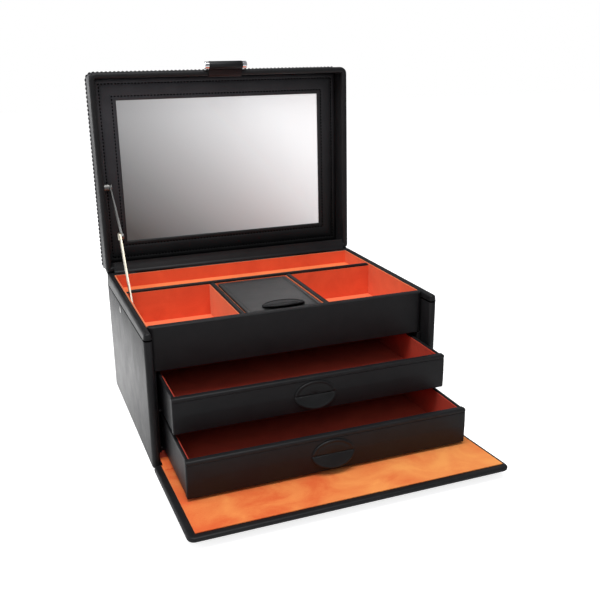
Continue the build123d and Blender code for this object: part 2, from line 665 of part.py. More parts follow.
# Front flap: a board whose back edge rolls about the hinge axis, and its lining
FLAP_BACK = FLAP_THICK / 2
FLAP_LONG = FLAP_REACH + FLAP_BACK
with BuildPart() as flap_board:
    with BuildSketch(FLAP_PLANE.offset(-FLAP_THICK / 2)) as flap_outline:
        with Locations((0, FLAP_BACK - FLAP_LONG / 2)):
            Rectangle(WIDTH, FLAP_LONG)
        fillet(flap_outline.vertices().group_by(Axis.Y)[0], FLAP_CORNER)
        fillet(flap_outline.vertices().group_by(Axis.Y)[-1], 2.6)
    extrude(amount=FLAP_THICK)
    fillet(flap_board.faces().sort_by(FLAP_UP)[-1].edges(), FLAP_THICK / 2 - 0.1)
    fillet(flap_board.faces().sort_by(FLAP_UP)[0].edges(), FLAP_THICK / 2 - 0.2)
flap_board.part.label = "flap_board"
export_step(flap_board.part, "parts/flap_board.step")

with BuildPart() as flap_lining:
    with BuildSketch(FLAP_PLANE.offset(FLAP_THICK / 2)):
        with Locations(((FLAP_BORDER_LEFT - FLAP_BORDER_RIGHT) / 2, -(FLAP_REACH - FLAP_BORDER + 1.0) / 2)):
            Rectangle(WIDTH - FLAP_BORDER_LEFT - FLAP_BORDER_RIGHT, FLAP_REACH - FLAP_BORDER - 1.0)
    extrude(amount=FLAP_SKIN)
flap_lining.part.label = "flap_lining"
export_step(flap_lining.part, "parts/flap_lining.step")

# Drawers: padded front with a rolled top edge, box, lining and leather pull
for name, out, bottom, top in DRAWERS:
    tall = top - bottom
    back_of_front = FRONT_THICK - out
    back_of_box = DRAWER_LONG - out
    with BuildPart() as drawer_front:
        with BuildSketch(Plane.XY.offset(bottom)) as front_outline:
            with Locations((0, FRONT_THICK / 2 - out)):
                Rectangle(FRONT_WIDE, FRONT_THICK)
            fillet(front_outline.vertices().group_by(Axis.Y)[0], 2.2)
        extrude(amount=tall)
        fillet(drawer_front.faces().sort_by(Axis.Z)[-1].edges(), 1.5)
        fillet(drawer_front.edges().filter_by(Axis.X).group_by(Axis.Z)[0].sort_by(Axis.Y)[0], 1.2)
        with Locations((0, -out, top - ROLL)):
            Box(FRONT_WIDE + 2, 2 * SEAM_DEEP, SEAM_TALL, mode=Mode.SUBTRACT)
    drawer_front.part.label = f"{name}_drawer_front"
    export_step(drawer_front.part, f"parts/{name}_drawer_front.step")

    with BuildPart() as drawer_box:
        with BuildSketch(Plane.XY.offset(bottom)) as box_outline:
            with Locations((0, middle(back_of_front, back_of_box))):
                Rectangle(BOX_WIDE, back_of_box - back_of_front)
            fillet(box_outline.vertices().group_by(Axis.Y)[-1], 2.0)
        extrude(amount=tall - BOX_DROP)
        with BuildSketch(Plane.XY.offset(bottom + BOX_FLOOR)):
            with Locations((0, middle(back_of_front, back_of_box - BOX_BOARD))):
                Rectangle(BOX_WIDE - 2 * BOX_BOARD, back_of_box - BOX_BOARD - back_of_front)
        extrude(amount=tall, mode=Mode.SUBTRACT)
        rim = drawer_box.faces().sort_by(Axis.Z)[-1].edges().filter_by(lambda e: e.center().Y > back_of_front + 1)
        fillet(rim.filter_by(lambda e: e.length > BOX_BOARD + 1), 0.9)
    drawer_box.part.label = f"{name}_drawer_box"
    export_step(drawer_box.part, f"parts/{name}_drawer_box.step")

    with BuildPart() as drawer_lining:
        inner_wide = BOX_WIDE - 2 * BOX_BOARD
        inner_long = back_of_box - BOX_BOARD - back_of_front
        with BuildSketch(Plane.XY.offset(bottom + BOX_FLOOR)):
            with Locations((0, middle(back_of_front, back_of_box - BOX_BOARD))):
                Rectangle(inner_wide, inner_long)
        extrude(amount=tall - BOX_DROP - BOX_FLOOR - 1.0)
        with BuildSketch(Plane.XY.offset(bottom + BOX_FLOOR + DRAWER_SKIN)):
            with Locations((0, middle(back_of_front, back_of_box - BOX_BOARD))):
                RectangleRounded(inner_wide - 2 * DRAWER_SKIN, inner_long - 2 * DRAWER_SKIN, 1.0)
        extrude(amount=tall, mode=Mode.SUBTRACT)
    drawer_lining.part.label = f"{name}_drawer_lining"
    export_step(drawer_lining.part, f"parts/{name}_drawer_lining.step")

    # The pull is an oval tab: its upper half lies on the front and its lower half
    # stands away below the crease
    crease = middle(bottom, top) - 0.6
    lean = radians(PULL_FLARE)
    with BuildPart() as drawer_pull:
        with BuildSketch(Plane.YZ.offset(PULL_X - PULL_WIDE / 2)):
            with BuildLine():
                Polyline(
                    (-out, crease + PULL_HALF),
                    (-out, crease),
                    (-out - PULL_HALF * sin(lean), crease - PULL_HALF * cos(lean)),
                    (-out - PULL_HALF * sin(lean) - PULL_THICK, crease - PULL_HALF * cos(lean)),
                    (-out - PULL_THICK, crease),
                    (-out - PULL_THICK, crease + PULL_HALF),
                    close=True,
                )
            make_face()
        extrude(amount=PULL_WIDE)
        with BuildSketch(Plane.XZ.offset(out - 2)):
            with Locations((PULL_X, crease)):
                Ellipse(PULL_WIDE / 2, PULL_HALF - 0.3)
        extrude(amount=14, mode=Mode.INTERSECT)
    drawer_pull.part.label = f"{name}_drawer_pull"
    export_step(drawer_pull.part, f"parts/{name}_drawer_pull.step")

# Travel case: an open box with its lining, and a hinged lid with a pull
TRAVEL_BOTTOM = LINED_FLOOR + 0.5
TRAVEL_CENTRE = (middle(*TRAVEL_X), middle(*TRAVEL_Y))
TRAVEL_SIZE = (TRAVEL_X[1] - TRAVEL_X[0], TRAVEL_Y[1] - TRAVEL_Y[0])
with BuildPart() as travel_box:
    with BuildSketch(Plane.XY.offset(TRAVEL_BOTTOM)):
        with Locations(TRAVEL_CENTRE):
            RectangleRounded(*TRAVEL_SIZE, TRAVEL_CORNER)
    extrude(amount=TRAVEL_TOP - TRAVEL_BOTTOM)
    with BuildSketch(Plane.XY.offset(TRAVEL_BOTTOM + TRAVEL_BOARD)):
        with Locations(TRAVEL_CENTRE):
            Rectangle(TRAVEL_SIZE[0] - 2 * TRAVEL_BOARD, TRAVEL_SIZE[1] - 2 * TRAVEL_BOARD)
    extrude(amount=TRAVEL_TOP, mode=Mode.SUBTRACT)
travel_box.part.label = "travel_box"
export_step(travel_box.part, "parts/travel_box.step")

with BuildPart() as travel_lining:
    with BuildSketch(Plane.XY.offset(TRAVEL_BOTTOM + TRAVEL_BOARD)):
        with Locations(TRAVEL_CENTRE):
            Rectangle(TRAVEL_SIZE[0] - 2 * TRAVEL_BOARD, TRAVEL_SIZE[1] - 2 * TRAVEL_BOARD)
    extrude(amount=TRAVEL_TOP - TRAVEL_BOTTOM - TRAVEL_BOARD - 1.6)
    with BuildSketch(Plane.XY.offset(TRAVEL_BOTTOM + TRAVEL_BOARD + DRAWER_SKIN)):
        with Locations(TRAVEL_CENTRE):
            Rectangle(
                TRAVEL_SIZE[0] - 2 * TRAVEL_BOARD - 2 * DRAWER_SKIN,
                TRAVEL_SIZE[1] - 2 * TRAVEL_BOARD - 2 * DRAWER_SKIN,
            )
    extrude(amount=TRAVEL_TOP, mode=Mode.SUBTRACT)
travel_lining.part.label = "travel_lining"
export_step(travel_lining.part, "parts/travel_lining.step")

TRAVEL_LID_BOTTOM = TRAVEL_TOP + TRAVEL_GAP
with BuildPart() as travel_lid:
    with BuildSketch(Plane.XY.offset(TRAVEL_LID_BOTTOM)):
        with Locations(TRAVEL_CENTRE):
            RectangleRounded(*TRAVEL_SIZE, TRAVEL_CORNER)
    extrude(amount=TRAVEL_LID)
    fillet(travel_lid.faces().sort_by(Axis.Z)[-1].edges(), TRAVEL_LID / 2 - 0.1)
    fillet(travel_lid.faces().sort_by(Axis.Z)[0].edges(), TRAVEL_LID / 2 - 0.1)
travel_lid.part.label = "travel_lid"
export_step(travel_lid.part, "parts/travel_lid.step")

with BuildPart() as travel_lid_lining:
    with BuildSketch(Plane.XY.offset(TRAVEL_LID_BOTTOM)):
        with Locations((TRAVEL_CENTRE[0], TRAVEL_CENTRE[1] - 1.0)):
            Rectangle(
                TRAVEL_SIZE[0] - 2 * TRAVEL_BOARD - 2 * DRAWER_SKIN - 1.0,
                TRAVEL_SIZE[1] - 2 * TRAVEL_BOARD - 2 * DRAWER_SKIN - 3.0,
            )
    extrude(amount=-DRAWER_SKIN)
travel_lid_lining.part.label = "travel_lid_lining"
export_step(travel_lid_lining.part, "parts/travel_lid_lining.step")

TRAVEL_LID_TOP = TRAVEL_LID_BOTTOM + TRAVEL_LID
pull_x, pull_y = TRAVEL_PULL_AT
with BuildPart() as travel_pull:
    lift = radians(TRAVEL_FLARE)
    with BuildSketch(Plane.YZ.offset(pull_x - TRAVEL_PULL_WIDE / 2)):
        with BuildLine():
            Polyline(
                (pull_y + PULL_HALF, TRAVEL_LID_TOP),
                (pull_y, TRAVEL_LID_TOP),
                (pull_y - PULL_HALF * cos(lift), TRAVEL_LID_TOP + PULL_HALF * sin(lift)),
                (pull_y - PULL_HALF * cos(lift), TRAVEL_LID_TOP + PULL_HALF * sin(lift) + PULL_THICK),
                (pull_y, TRAVEL_LID_TOP + PULL_THICK),
                (pull_y + PULL_HALF, TRAVEL_LID_TOP + PULL_THICK),
                close=True,
            )
        make_face()
    extrude(amount=TRAVEL_PULL_WIDE)
    with BuildSketch(Plane.XY.offset(TRAVEL_LID_TOP - 2)):
        with Locations((pull_x, pull_y)):
            Ellipse(TRAVEL_PULL_WIDE / 2, PULL_HALF - 0.3)
    extrude(amount=14, mode=Mode.INTERSECT)
travel_pull.part.label = "travel_pull"
export_step(travel_pull.part, "parts/travel_pull.step")
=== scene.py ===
# %% [markdown]
# # An open jewelry case
# The case is black leather over thin boards, with an orange suede lining. Its lid
# stands open on a folding stay, two drawers are pulled out and the front flap lies
# forward on the table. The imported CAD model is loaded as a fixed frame. Boards with
# the right shape keep their CAD mesh and get a finish, and the leather-wrapped pieces
# are built again here, because leather has rolled edges, seams and a little slack.

# %% Load the frame
from math import atan2, cos, pi, radians, sin

import bmesh
import bpy
from mathutils import Matrix, Vector


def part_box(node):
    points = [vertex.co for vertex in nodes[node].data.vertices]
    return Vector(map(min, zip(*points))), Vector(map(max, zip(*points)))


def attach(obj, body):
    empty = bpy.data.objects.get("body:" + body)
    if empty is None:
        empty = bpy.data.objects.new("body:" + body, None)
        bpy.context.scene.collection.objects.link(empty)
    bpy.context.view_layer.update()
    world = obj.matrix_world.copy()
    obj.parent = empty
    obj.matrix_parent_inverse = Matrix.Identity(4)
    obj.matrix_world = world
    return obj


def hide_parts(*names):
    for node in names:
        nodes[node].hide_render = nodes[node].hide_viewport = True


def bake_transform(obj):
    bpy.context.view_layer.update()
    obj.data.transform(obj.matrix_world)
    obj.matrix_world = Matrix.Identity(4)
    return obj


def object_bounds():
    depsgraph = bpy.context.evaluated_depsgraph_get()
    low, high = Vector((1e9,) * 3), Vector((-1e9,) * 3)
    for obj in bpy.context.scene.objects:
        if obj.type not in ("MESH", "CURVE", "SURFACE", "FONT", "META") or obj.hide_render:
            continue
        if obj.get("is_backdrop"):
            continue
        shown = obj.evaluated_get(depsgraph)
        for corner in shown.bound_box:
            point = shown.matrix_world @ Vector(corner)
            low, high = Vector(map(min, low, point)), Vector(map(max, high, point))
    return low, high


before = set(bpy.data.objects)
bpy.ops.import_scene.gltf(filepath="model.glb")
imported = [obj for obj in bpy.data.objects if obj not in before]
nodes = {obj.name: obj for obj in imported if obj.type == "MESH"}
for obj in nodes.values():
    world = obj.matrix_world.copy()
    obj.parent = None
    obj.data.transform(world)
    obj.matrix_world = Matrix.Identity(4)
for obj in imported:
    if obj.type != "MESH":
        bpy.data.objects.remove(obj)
cad_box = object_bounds()
MM = 0.001

# %% [markdown]
# ## Camera
# The camera was fitted to the straight edges of the case in the photograph: it stands
# to the left of the case and looks down at it by about 18 degrees.

# %% Camera
SENSOR = 36.0
LENS = 47.98
CAMERA_AT = Vector((-239.6, -617.0, 351.0)) * MM
CAMERA_AIM = Vector((35.0, 90.0, 105.5)) * MM
CAMERA_ROLL = radians(0.59)
NEAREST = 0.01

camera_data = bpy.data.cameras.new("camera")
camera_data.lens = LENS
camera_data.sensor_width = SENSOR
camera_data.clip_start = NEAREST
camera = bpy.data.objects.new("camera", camera_data)
look = (CAMERA_AIM - CAMERA_AT).to_track_quat("-Z", "Y")
camera.matrix_world = (
    Matrix.Translation(CAMERA_AT) @ look.to_matrix().to_4x4() @ Matrix.Rotation(-CAMERA_ROLL, 4, "Z")
)
bpy.context.scene.collection.objects.link(camera)
bpy.context.scene.camera = camera
print("camera with a", LENS, "mm lens at", [round(v / MM, 1) for v in CAMERA_AT], "mm")

# %% [markdown]
# ## Finishes
# Leather, suede, metal and mirror are procedural. An effect that several finishes use
# is a node group with named inputs. The Principled shader stays in each material.

# %% Helpers for shader nodes


def new_material(name):
    """A material with nodes, its tree and its Principled shader."""
    made = bpy.data.materials.new(name)
    made.use_nodes = True
    return made, made.node_tree, made.node_tree.nodes["Principled BSDF"]


def node(tree, kind, **settings):
    """A new node with its settings, such as its operation."""
    made = tree.nodes.new(kind)
    for key, value in settings.items():
        setattr(made, key, value)
    return made


def set_inputs(made, **values):
    """Sets a node's inputs by name, with _ for a space, and gives the node back."""
    for key, value in values.items():
        made.inputs[key.replace("_", " ")].default_value = value
    return made


def group_node(tree, group, **values):
    made = node(tree, "ShaderNodeGroup", node_tree=group)
    return set_inputs(made, **values)


def new_group(name, inputs, outputs):
    """A shader group whose inputs and outputs are given as (name, kind, default)."""
    group = bpy.data.node_groups.new(name, "ShaderNodeTree")
    for label, kind, default in inputs:
        made = group.interface.new_socket(label, in_out="INPUT", socket_type=kind)
        made.default_value = default
    for label, kind in outputs:
        group.interface.new_socket(label, in_out="OUTPUT", socket_type=kind)
    return group, node(group, "NodeGroupInput"), node(group, "NodeGroupOutput")


def two_shades(tree, dark, light, start, end):
    """A colour ramp from a dark shade to a light one, between two places on it."""
    shade = node(tree, "ShaderNodeValToRGB")
    stops = shade.color_ramp.elements
    stops[0].position = start
    stops[0].color = (*dark, 1)
    stops[1].position = end
    stops[1].color = (*light, 1)
    return shade


# %% [markdown]
# Leather has fine cells a millimetre or less across, and the skin lies on the board
# in slow waves. Voronoi cells give the first and a slow noise the second. Both are
# bumps, because the real grain has almost no colour of its own. A finer noise comes out
# as a mottle, for the materials to vary their shade and polish with.

# %% Leather grain group
GRAIN_DEEP = 0.0004
SLACK_DEEP = 0.01
CELL_WARP = 0.002


def leather_grain():
    """Cells and waves as one normal, and a mottle."""
    group, given, out = new_group(
        "leather grain",
        [
            ("Cells", "NodeSocketFloat", 1500.0),
            ("Depth", "NodeSocketFloat", 0.1),
            ("Slack", "NodeSocketFloat", 0.3),
        ],
        [("Normal", "NodeSocketVector"), ("Mottle", "NodeSocketFloat")],
    )
    link = group.links.new
    place = node(group, "ShaderNodeTexCoord")
    warp = set_inputs(node(group, "ShaderNodeTexNoise"), Scale=300.0, Detail=2.0)
    mixed = node(group, "ShaderNodeMix", data_type="VECTOR")
    mixed.inputs["Factor"].default_value = CELL_WARP
    cells = node(group, "ShaderNodeTexVoronoi", feature="DISTANCE_TO_EDGE")
    link(place.outputs["Object"], warp.inputs["Vector"])
    link(place.outputs["Object"], mixed.inputs[4])
    link(warp.outputs["Color"], mixed.inputs[5])
    link(mixed.outputs[1], cells.inputs["Vector"])
    link(given.outputs["Cells"], cells.inputs["Scale"])
    rise = set_inputs(node(group, "ShaderNodeMapRange"), From_Max=0.22)
    link(cells.outputs["Distance"], rise.inputs["Value"])
    slack = set_inputs(node(group, "ShaderNodeTexNoise"), Scale=22.0, Detail=2.5, Roughness=0.45)
    link(place.outputs["Object"], slack.inputs["Vector"])
    waves = set_inputs(node(group, "ShaderNodeBump"), Distance=SLACK_DEEP)
    link(given.outputs["Slack"], waves.inputs["Strength"])
    link(slack.outputs["Fac"], waves.inputs["Height"])
    grain = set_inputs(node(group, "ShaderNodeBump"), Distance=GRAIN_DEEP)
    link(given.outputs["Depth"], grain.inputs["Strength"])
    link(rise.outputs["Result"], grain.inputs["Height"])
    link(waves.outputs["Normal"], grain.inputs["Normal"])
    mottle = set_inputs(node(group, "ShaderNodeTexNoise"), Scale=55.0, Detail=5.0, Roughness=0.6)
    link(place.outputs["Object"], mottle.inputs["Vector"])
    link(grain.outputs["Normal"], out.inputs["Normal"])
    link(mottle.outputs["Fac"], out.inputs["Mottle"])
    return group


GRAIN = leather_grain()
print("group", GRAIN.name, "with", len(GRAIN.nodes), "nodes")

# %% [markdown]
# The hide is dyed almost black, and its polish varies a little from place to place. One
# flat colour would look like plastic, so two near shades and the roughness both follow
# the same mottle. Each kind of leather on the case is one call of the same function.

# %% Leather


def leather(name, dark, light, rough, depth=0.1, slack=0.25, gloss=0.22):
    """Dyed leather: two near shades, a roughness that wanders, and the grain."""
    made, tree, shader = new_material(name)
    grain = group_node(tree, GRAIN, Depth=depth, Slack=slack)
    shade = two_shades(tree, dark, light, 0.3, 0.75)
    polish = node(tree, "ShaderNodeMapRange")
    set_inputs(polish, From_Min=0.3, From_Max=0.7, To_Min=rough - 0.03, To_Max=rough + 0.04)
    tree.links.new(grain.outputs["Mottle"], shade.inputs["Fac"])
    tree.links.new(grain.outputs["Mottle"], polish.inputs["Value"])
    tree.links.new(shade.outputs["Color"], shader.inputs["Base Color"])
    tree.links.new(polish.outputs["Result"], shader.inputs["Roughness"])
    tree.links.new(grain.outputs["Normal"], shader.inputs["Normal"])
    shader.inputs["Specular IOR Level"].default_value = gloss
    return made


BLACK_LEATHER = leather(
    "black_leather", (0.0085, 0.0085, 0.0095), (0.0125, 0.0122, 0.0130), rough=0.44, depth=0.1, slack=0.12
)
INNER_LEATHER = leather(
    "inner_leather",
    (0.0105, 0.0105, 0.0120),
    (0.0145, 0.0145, 0.0162),
    rough=0.46,
    depth=0.12,
    slack=0.12,
    gloss=0.32,
)
SMOOTH_LEATHER = leather(
    "smooth_leather",
    (0.012, 0.0125, 0.0125),
    (0.016, 0.0165, 0.0165),
    rough=0.36,
    depth=0.06,
    slack=0.12,
    gloss=0.75,
)
TAB_LEATHER = leather(
    "tab_leather", (0.008, 0.008, 0.0085), (0.012, 0.012, 0.0125), rough=0.40, depth=0.08, slack=0.05
)
STRAP_LEATHER = leather(
    "strap_leather",
    (0.013, 0.0055, 0.0055),
    (0.022, 0.009, 0.0085),
    rough=0.46,
    depth=0.08,
    slack=0.05,
    gloss=0.2,
)
THREAD = leather(
    "black_thread", (0.001, 0.001, 0.001), (0.003, 0.003, 0.003), rough=0.8, depth=0.3, slack=0.0, gloss=0.0
)
for finish in (BLACK_LEATHER, INNER_LEATHER, SMOOTH_LEATHER, TAB_LEATHER, STRAP_LEATHER, THREAD):
    print("finish", finish.name)

# %% [markdown]
# The leather round the mirror is lit from the top left, so it is deeper in shade towards
# the bottom and the right. Scaling the colour along two axes gives that soft fall.

# %% Shade round the mirror


def shade_along(material, axis, start, end, low, high):
    """Makes a finish's colour run from low to high times itself along an axis, in metres."""
    tree = material.node_tree
    colour = tree.nodes["Principled BSDF"].inputs["Base Color"]
    before = colour.links[0].from_socket
    place = node(tree, "ShaderNodeTexCoord")
    parts = node(tree, "ShaderNodeSeparateXYZ")
    run = set_inputs(node(tree, "ShaderNodeMapRange"), From_Min=start, From_Max=end, To_Min=low, To_Max=high)
    scaled = node(tree, "ShaderNodeVectorMath", operation="SCALE")
    tree.links.new(place.outputs["Object"], parts.inputs["Vector"])
    tree.links.new(parts.outputs[axis], run.inputs["Value"])
    tree.links.new(before, scaled.inputs[0])
    tree.links.new(run.outputs["Result"], scaled.inputs["Scale"])
    tree.links.new(scaled.outputs["Vector"], colour)


shade_along(INNER_LEATHER, "Z", start=0.14, end=0.31, low=0.35, high=3.8)
shade_along(INNER_LEATHER, "X", start=-0.13, end=0.13, low=1.2, high=0.4)
print("shade of", INNER_LEATHER.name, "runs along Z and X")

# %% [markdown]
# Suede is a brushed nap: it scatters light at a glancing angle and shows faint
# lighter and darker strokes where the nap leans another way. Sheen gives the first,
# and a twisted noise the second.

# %% Suede


def suede_nap():
    """Fibres as a normal, and the lean of the nap as a value."""
    group, given, out = new_group(
        "suede nap",
        [("Stroke", "NodeSocketFloat", 30.0), ("Depth", "NodeSocketFloat", 0.25)],
        [("Normal", "NodeSocketVector"), ("Lean", "NodeSocketFloat")],
    )
    link = group.links.new
    place = node(group, "ShaderNodeTexCoord")
    fibres = set_inputs(node(group, "ShaderNodeTexNoise"), Scale=2600.0, Detail=3.0, Roughness=0.7)
    link(place.outputs["Object"], fibres.inputs["Vector"])
    bump = set_inputs(node(group, "ShaderNodeBump"), Distance=0.0004)
    link(given.outputs["Depth"], bump.inputs["Strength"])
    link(fibres.outputs["Fac"], bump.inputs["Height"])
    strokes = set_inputs(node(group, "ShaderNodeTexNoise"), Detail=4.0, Roughness=0.55, Distortion=0.6)
    link(given.outputs["Stroke"], strokes.inputs["Scale"])
    link(place.outputs["Object"], strokes.inputs["Vector"])
    speck = node(group, "ShaderNodeMix", data_type="FLOAT")
    speck.inputs["Factor"].default_value = 0.35
    link(strokes.outputs["Fac"], speck.inputs[2])
    link(fibres.outputs["Fac"], speck.inputs[3])
    link(bump.outputs["Normal"], out.inputs["Normal"])
    link(speck.outputs[0], out.inputs["Lean"])
    return group


NAP = suede_nap()
SIDE_LIGHT_REACH = 0.13


def suede(name, dark, light, sheen, stroke=30.0, painted_side_light=0.0, floor=None):
    """Brushed suede between two shades. With painted side light it grows lighter from left to right.
    With a painted top light colour, faces that look up take that lighter colour, as light from above falls on
    them."""
    made, tree, shader = new_material(name)
    nap = group_node(tree, NAP, Stroke=stroke)
    place = node(tree, "ShaderNodeTexCoord")
    parts = node(tree, "ShaderNodeSeparateXYZ")
    # A ramp along X adds painted side light to the nap's lean: lighter towards the right.
    side_light_ramp = node(tree, "ShaderNodeMapRange")
    set_inputs(side_light_ramp, From_Min=-SIDE_LIGHT_REACH, From_Max=SIDE_LIGHT_REACH, To_Min=-painted_side_light, To_Max=painted_side_light)
    lean = node(tree, "ShaderNodeMath", operation="ADD")
    shade = two_shades(tree, dark, light, 0.36, 0.66)
    tree.links.new(place.outputs["Object"], parts.inputs["Vector"])
    tree.links.new(parts.outputs["X"], side_light_ramp.inputs["Value"])
    tree.links.new(nap.outputs["Lean"], lean.inputs[0])
    tree.links.new(side_light_ramp.outputs["Result"], lean.inputs[1])
    tree.links.new(lean.outputs["Value"], shade.inputs["Fac"])
    colour = shade.outputs["Color"]
    # Faces that look up mix towards the given colour: painted top light, lighter where light from above
    # falls.
    if floor:
        facing = node(tree, "ShaderNodeSeparateXYZ")
        up = set_inputs(node(tree, "ShaderNodeMapRange"), From_Min=0.6, From_Max=0.9, To_Max=0.8)
        mixed = node(tree, "ShaderNodeMix", data_type="RGBA")
        mixed.inputs[7].default_value = (*floor, 1)
        tree.links.new(place.outputs["Normal"], facing.inputs["Vector"])
        tree.links.new(facing.outputs["Z"], up.inputs["Value"])
        tree.links.new(up.outputs["Result"], mixed.inputs["Factor"])
        tree.links.new(colour, mixed.inputs[6])
        colour = mixed.outputs[2]
    tree.links.new(colour, shader.inputs["Base Color"])
    tree.links.new(nap.outputs["Normal"], shader.inputs["Normal"])
    shader.inputs["Roughness"].default_value = 0.95
    shader.inputs["Specular IOR Level"].default_value = 0.15
    shader.inputs["Sheen Weight"].default_value = sheen
    shader.inputs["Sheen Roughness"].default_value = 0.42
    shader.inputs["Sheen Tint"].default_value = (1.0, 0.62, 0.36, 1.0)
    return made


# Painted top light: the lighter colour that the tray's upward faces take.
TRAY_PAINTED_TOP_LIGHT = (0.95, 0.24, 0.10)
ORANGE_SUEDE = suede(
    "orange_suede", (0.70, 0.095, 0.038), (0.84, 0.135, 0.052), sheen=0.55, floor=TRAY_PAINTED_TOP_LIGHT
)
# A lighter copy of the tray's suede for the rear step: painted light from above.
LIT_STEP_SUEDE = suede("lit_step_suede", (0.88, 0.19, 0.055), (0.96, 0.27, 0.085), sheen=0.60)
# A darker, redder copy of the tray's suede for the drawers and the bay floor below them: painted shade.
SHADED_DRAWER_SUEDE = suede("shaded_drawer_suede", (0.42, 0.048, 0.030), (0.56, 0.070, 0.040), sheen=0.05)
# The flap's suede is a lighter, yellower copy of the tray's: painted light on the flap, which lies open to
# the light from above, plus painted side light.
LIT_FLAP_SUEDE = suede(
    "lit_flap_suede", (0.80, 0.125, 0.030), (0.98, 0.365, 0.095), sheen=0.42, stroke=26.0, painted_side_light=0.09
)
for finish in (ORANGE_SUEDE, LIT_STEP_SUEDE, SHADED_DRAWER_SUEDE, LIT_FLAP_SUEDE):
    print("finish", finish.name)

# %% [markdown]
# The metal parts are small: a nickel stay, blackened butt hinges and a polished bar
# on the latch. Each is one shade, and a fine noise in its roughness stands for the wear.

# %% Metals


def metal(name, colour, rough, scratch=0.12):
    """A metal of one colour whose roughness varies by the scratch."""
    made, tree, shader = new_material(name)
    place = node(tree, "ShaderNodeTexCoord")
    marks = set_inputs(node(tree, "ShaderNodeTexNoise"), Scale=420.0, Detail=4.0, Roughness=0.7)
    spread = set_inputs(
        node(tree, "ShaderNodeMapRange"), To_Min=max(rough - scratch, 0.02), To_Max=rough + scratch
    )
    tree.links.new(place.outputs["Object"], marks.inputs["Vector"])
    tree.links.new(marks.outputs["Fac"], spread.inputs["Value"])
    tree.links.new(spread.outputs["Result"], shader.inputs["Roughness"])
    shader.inputs["Base Color"].default_value = (*colour, 1)
    shader.inputs["Metallic"].default_value = 1.0
    return made


NICKEL = metal("nickel", (0.42, 0.385, 0.31), 0.36)
# A darker copy of the nickel for the stay's upper arm and the rivets: painted shade.
SHADED_NICKEL = metal("shaded_nickel", (0.20, 0.20, 0.195), 0.38)
CHROME = metal("chrome", (0.86, 0.86, 0.87), 0.10, 0.05)
BLACK_METAL = metal("black_metal", (0.02, 0.02, 0.022), 0.42)
for finish in (NICKEL, SHADED_NICKEL, CHROME, BLACK_METAL):
    print("finish", finish.name)

# %% [markdown]
# The mirror is silvered glass that shows a bright, empty room. That room isn't in the
# scene, so a clear mirror would show only the surround. Its reflection is painted instead:
# a painted reflection, grey running to white over the glass, with a part of it glowing as light of its own.

# %% Mirror
MIRROR_PAINTED_REFLECTION = ((0.2, 0.23), (0.4, 0.42), (0.6, 0.66), (0.8, 0.88))
COOL = (1.0, 1.02, 1.03)


def mirror_finish():
    """Silvered glass with a painted reflection, grey low at the left to white at the top right, that glows a
    little.
    """
    made, tree, shader = new_material("mirror")
    low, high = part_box("mirror_glass")
    place = node(tree, "ShaderNodeTexCoord")
    parts = node(tree, "ShaderNodeSeparateXYZ")
    tree.links.new(place.outputs["Object"], parts.inputs["Vector"])
    across = set_inputs(node(tree, "ShaderNodeMapRange"), From_Min=low.x, From_Max=high.x, To_Max=0.66)
    along = node(tree, "ShaderNodeMapRange")
    set_inputs(along, From_Min=low.z, From_Max=high.z, To_Min=-0.06, To_Max=0.36)
    tree.links.new(parts.outputs["X"], across.inputs["Value"])
    tree.links.new(parts.outputs["Z"], along.inputs["Value"])
    total = node(tree, "ShaderNodeMath", operation="ADD")
    tree.links.new(across.outputs["Result"], total.inputs[0])
    tree.links.new(along.outputs["Result"], total.inputs[1])
    painted_reflection = node(tree, "ShaderNodeValToRGB")
    painted_reflection.color_ramp.elements[0].color = (0.082, 0.082, 0.079, 1)
    painted_reflection.color_ramp.elements[1].color = (1.0, 1.0, 1.0, 1)
    for position, shade in MIRROR_PAINTED_REFLECTION:
        painted_reflection.color_ramp.elements.new(position).color = (*(shade * part for part in COOL), 1)
    tree.links.new(total.outputs["Value"], painted_reflection.inputs["Fac"])
    tree.links.new(painted_reflection.outputs["Color"], shader.inputs["Base Color"])
    tree.links.new(painted_reflection.outputs["Color"], shader.inputs["Emission Color"])
    shader.inputs["Emission Strength"].default_value = 0.42
    shader.inputs["Metallic"].default_value = 0.2
    shader.inputs["Roughness"].default_value = 0.34
    return made


MIRROR = mirror_finish()
print("finish", MIRROR.name)

# %% [markdown]
# ## Carried-over boards
# Linings, metal parts and the glass already have the shape of the real piece, so each
# only gets its finish. The boards get leather. Most of them are wrapped further on, and
# the skin then stands for the board.

# %% Finishes of the CAD nodes


def finish_node(name, material):
    """Gives a CAD node its finish in place of the imported one."""
    data = nodes[name].data
    data.materials.clear()
    data.materials.append(material)


for name in nodes:
    if name.startswith("hinge_"):
        finish_node(name, BLACK_METAL)
    # The upper arm and its rivet take the darker copy of the nickel, painted shade.
    elif name in ("stay_upper_arm", "stay_rivet_lid"):
        finish_node(name, SHADED_NICKEL)
    elif name.startswith("stay_"):
        finish_node(name, NICKEL)
    # The drawer and bay linings take the darker copy of the suede, painted shade.
    elif name in ("upper_drawer_lining", "lower_drawer_lining", "base_lining"):
        finish_node(name, SHADED_DRAWER_SUEDE)
    elif name == "flap_lining":
        finish_node(name, LIT_FLAP_SUEDE)
    elif name in ("rear_step_lining", "rear_tray_step"):
        finish_node(name, LIT_STEP_SUEDE)
    elif "lining" in name:
        finish_node(name, ORANGE_SUEDE)
    elif name == "mirror_glass":
        finish_node(name, MIRROR)
    elif name == "latch_bar":
        finish_node(name, CHROME)
    else:
        finish_node(name, BLACK_LEATHER)
print("finished", len(nodes), "CAD nodes")

# %% [markdown]
# ## Shapes in leather
# Most of the leather pieces follow one rule: an outline with rounded corners, and a
# profile that runs round it. Each profile point is an inset from the outline and a
# height. So a wall, a padded border or a lid is an outline, a profile and a place.

# %% Outlines and profiles
SHARPEST = 0.15
SIDE_SHARE = 0.48


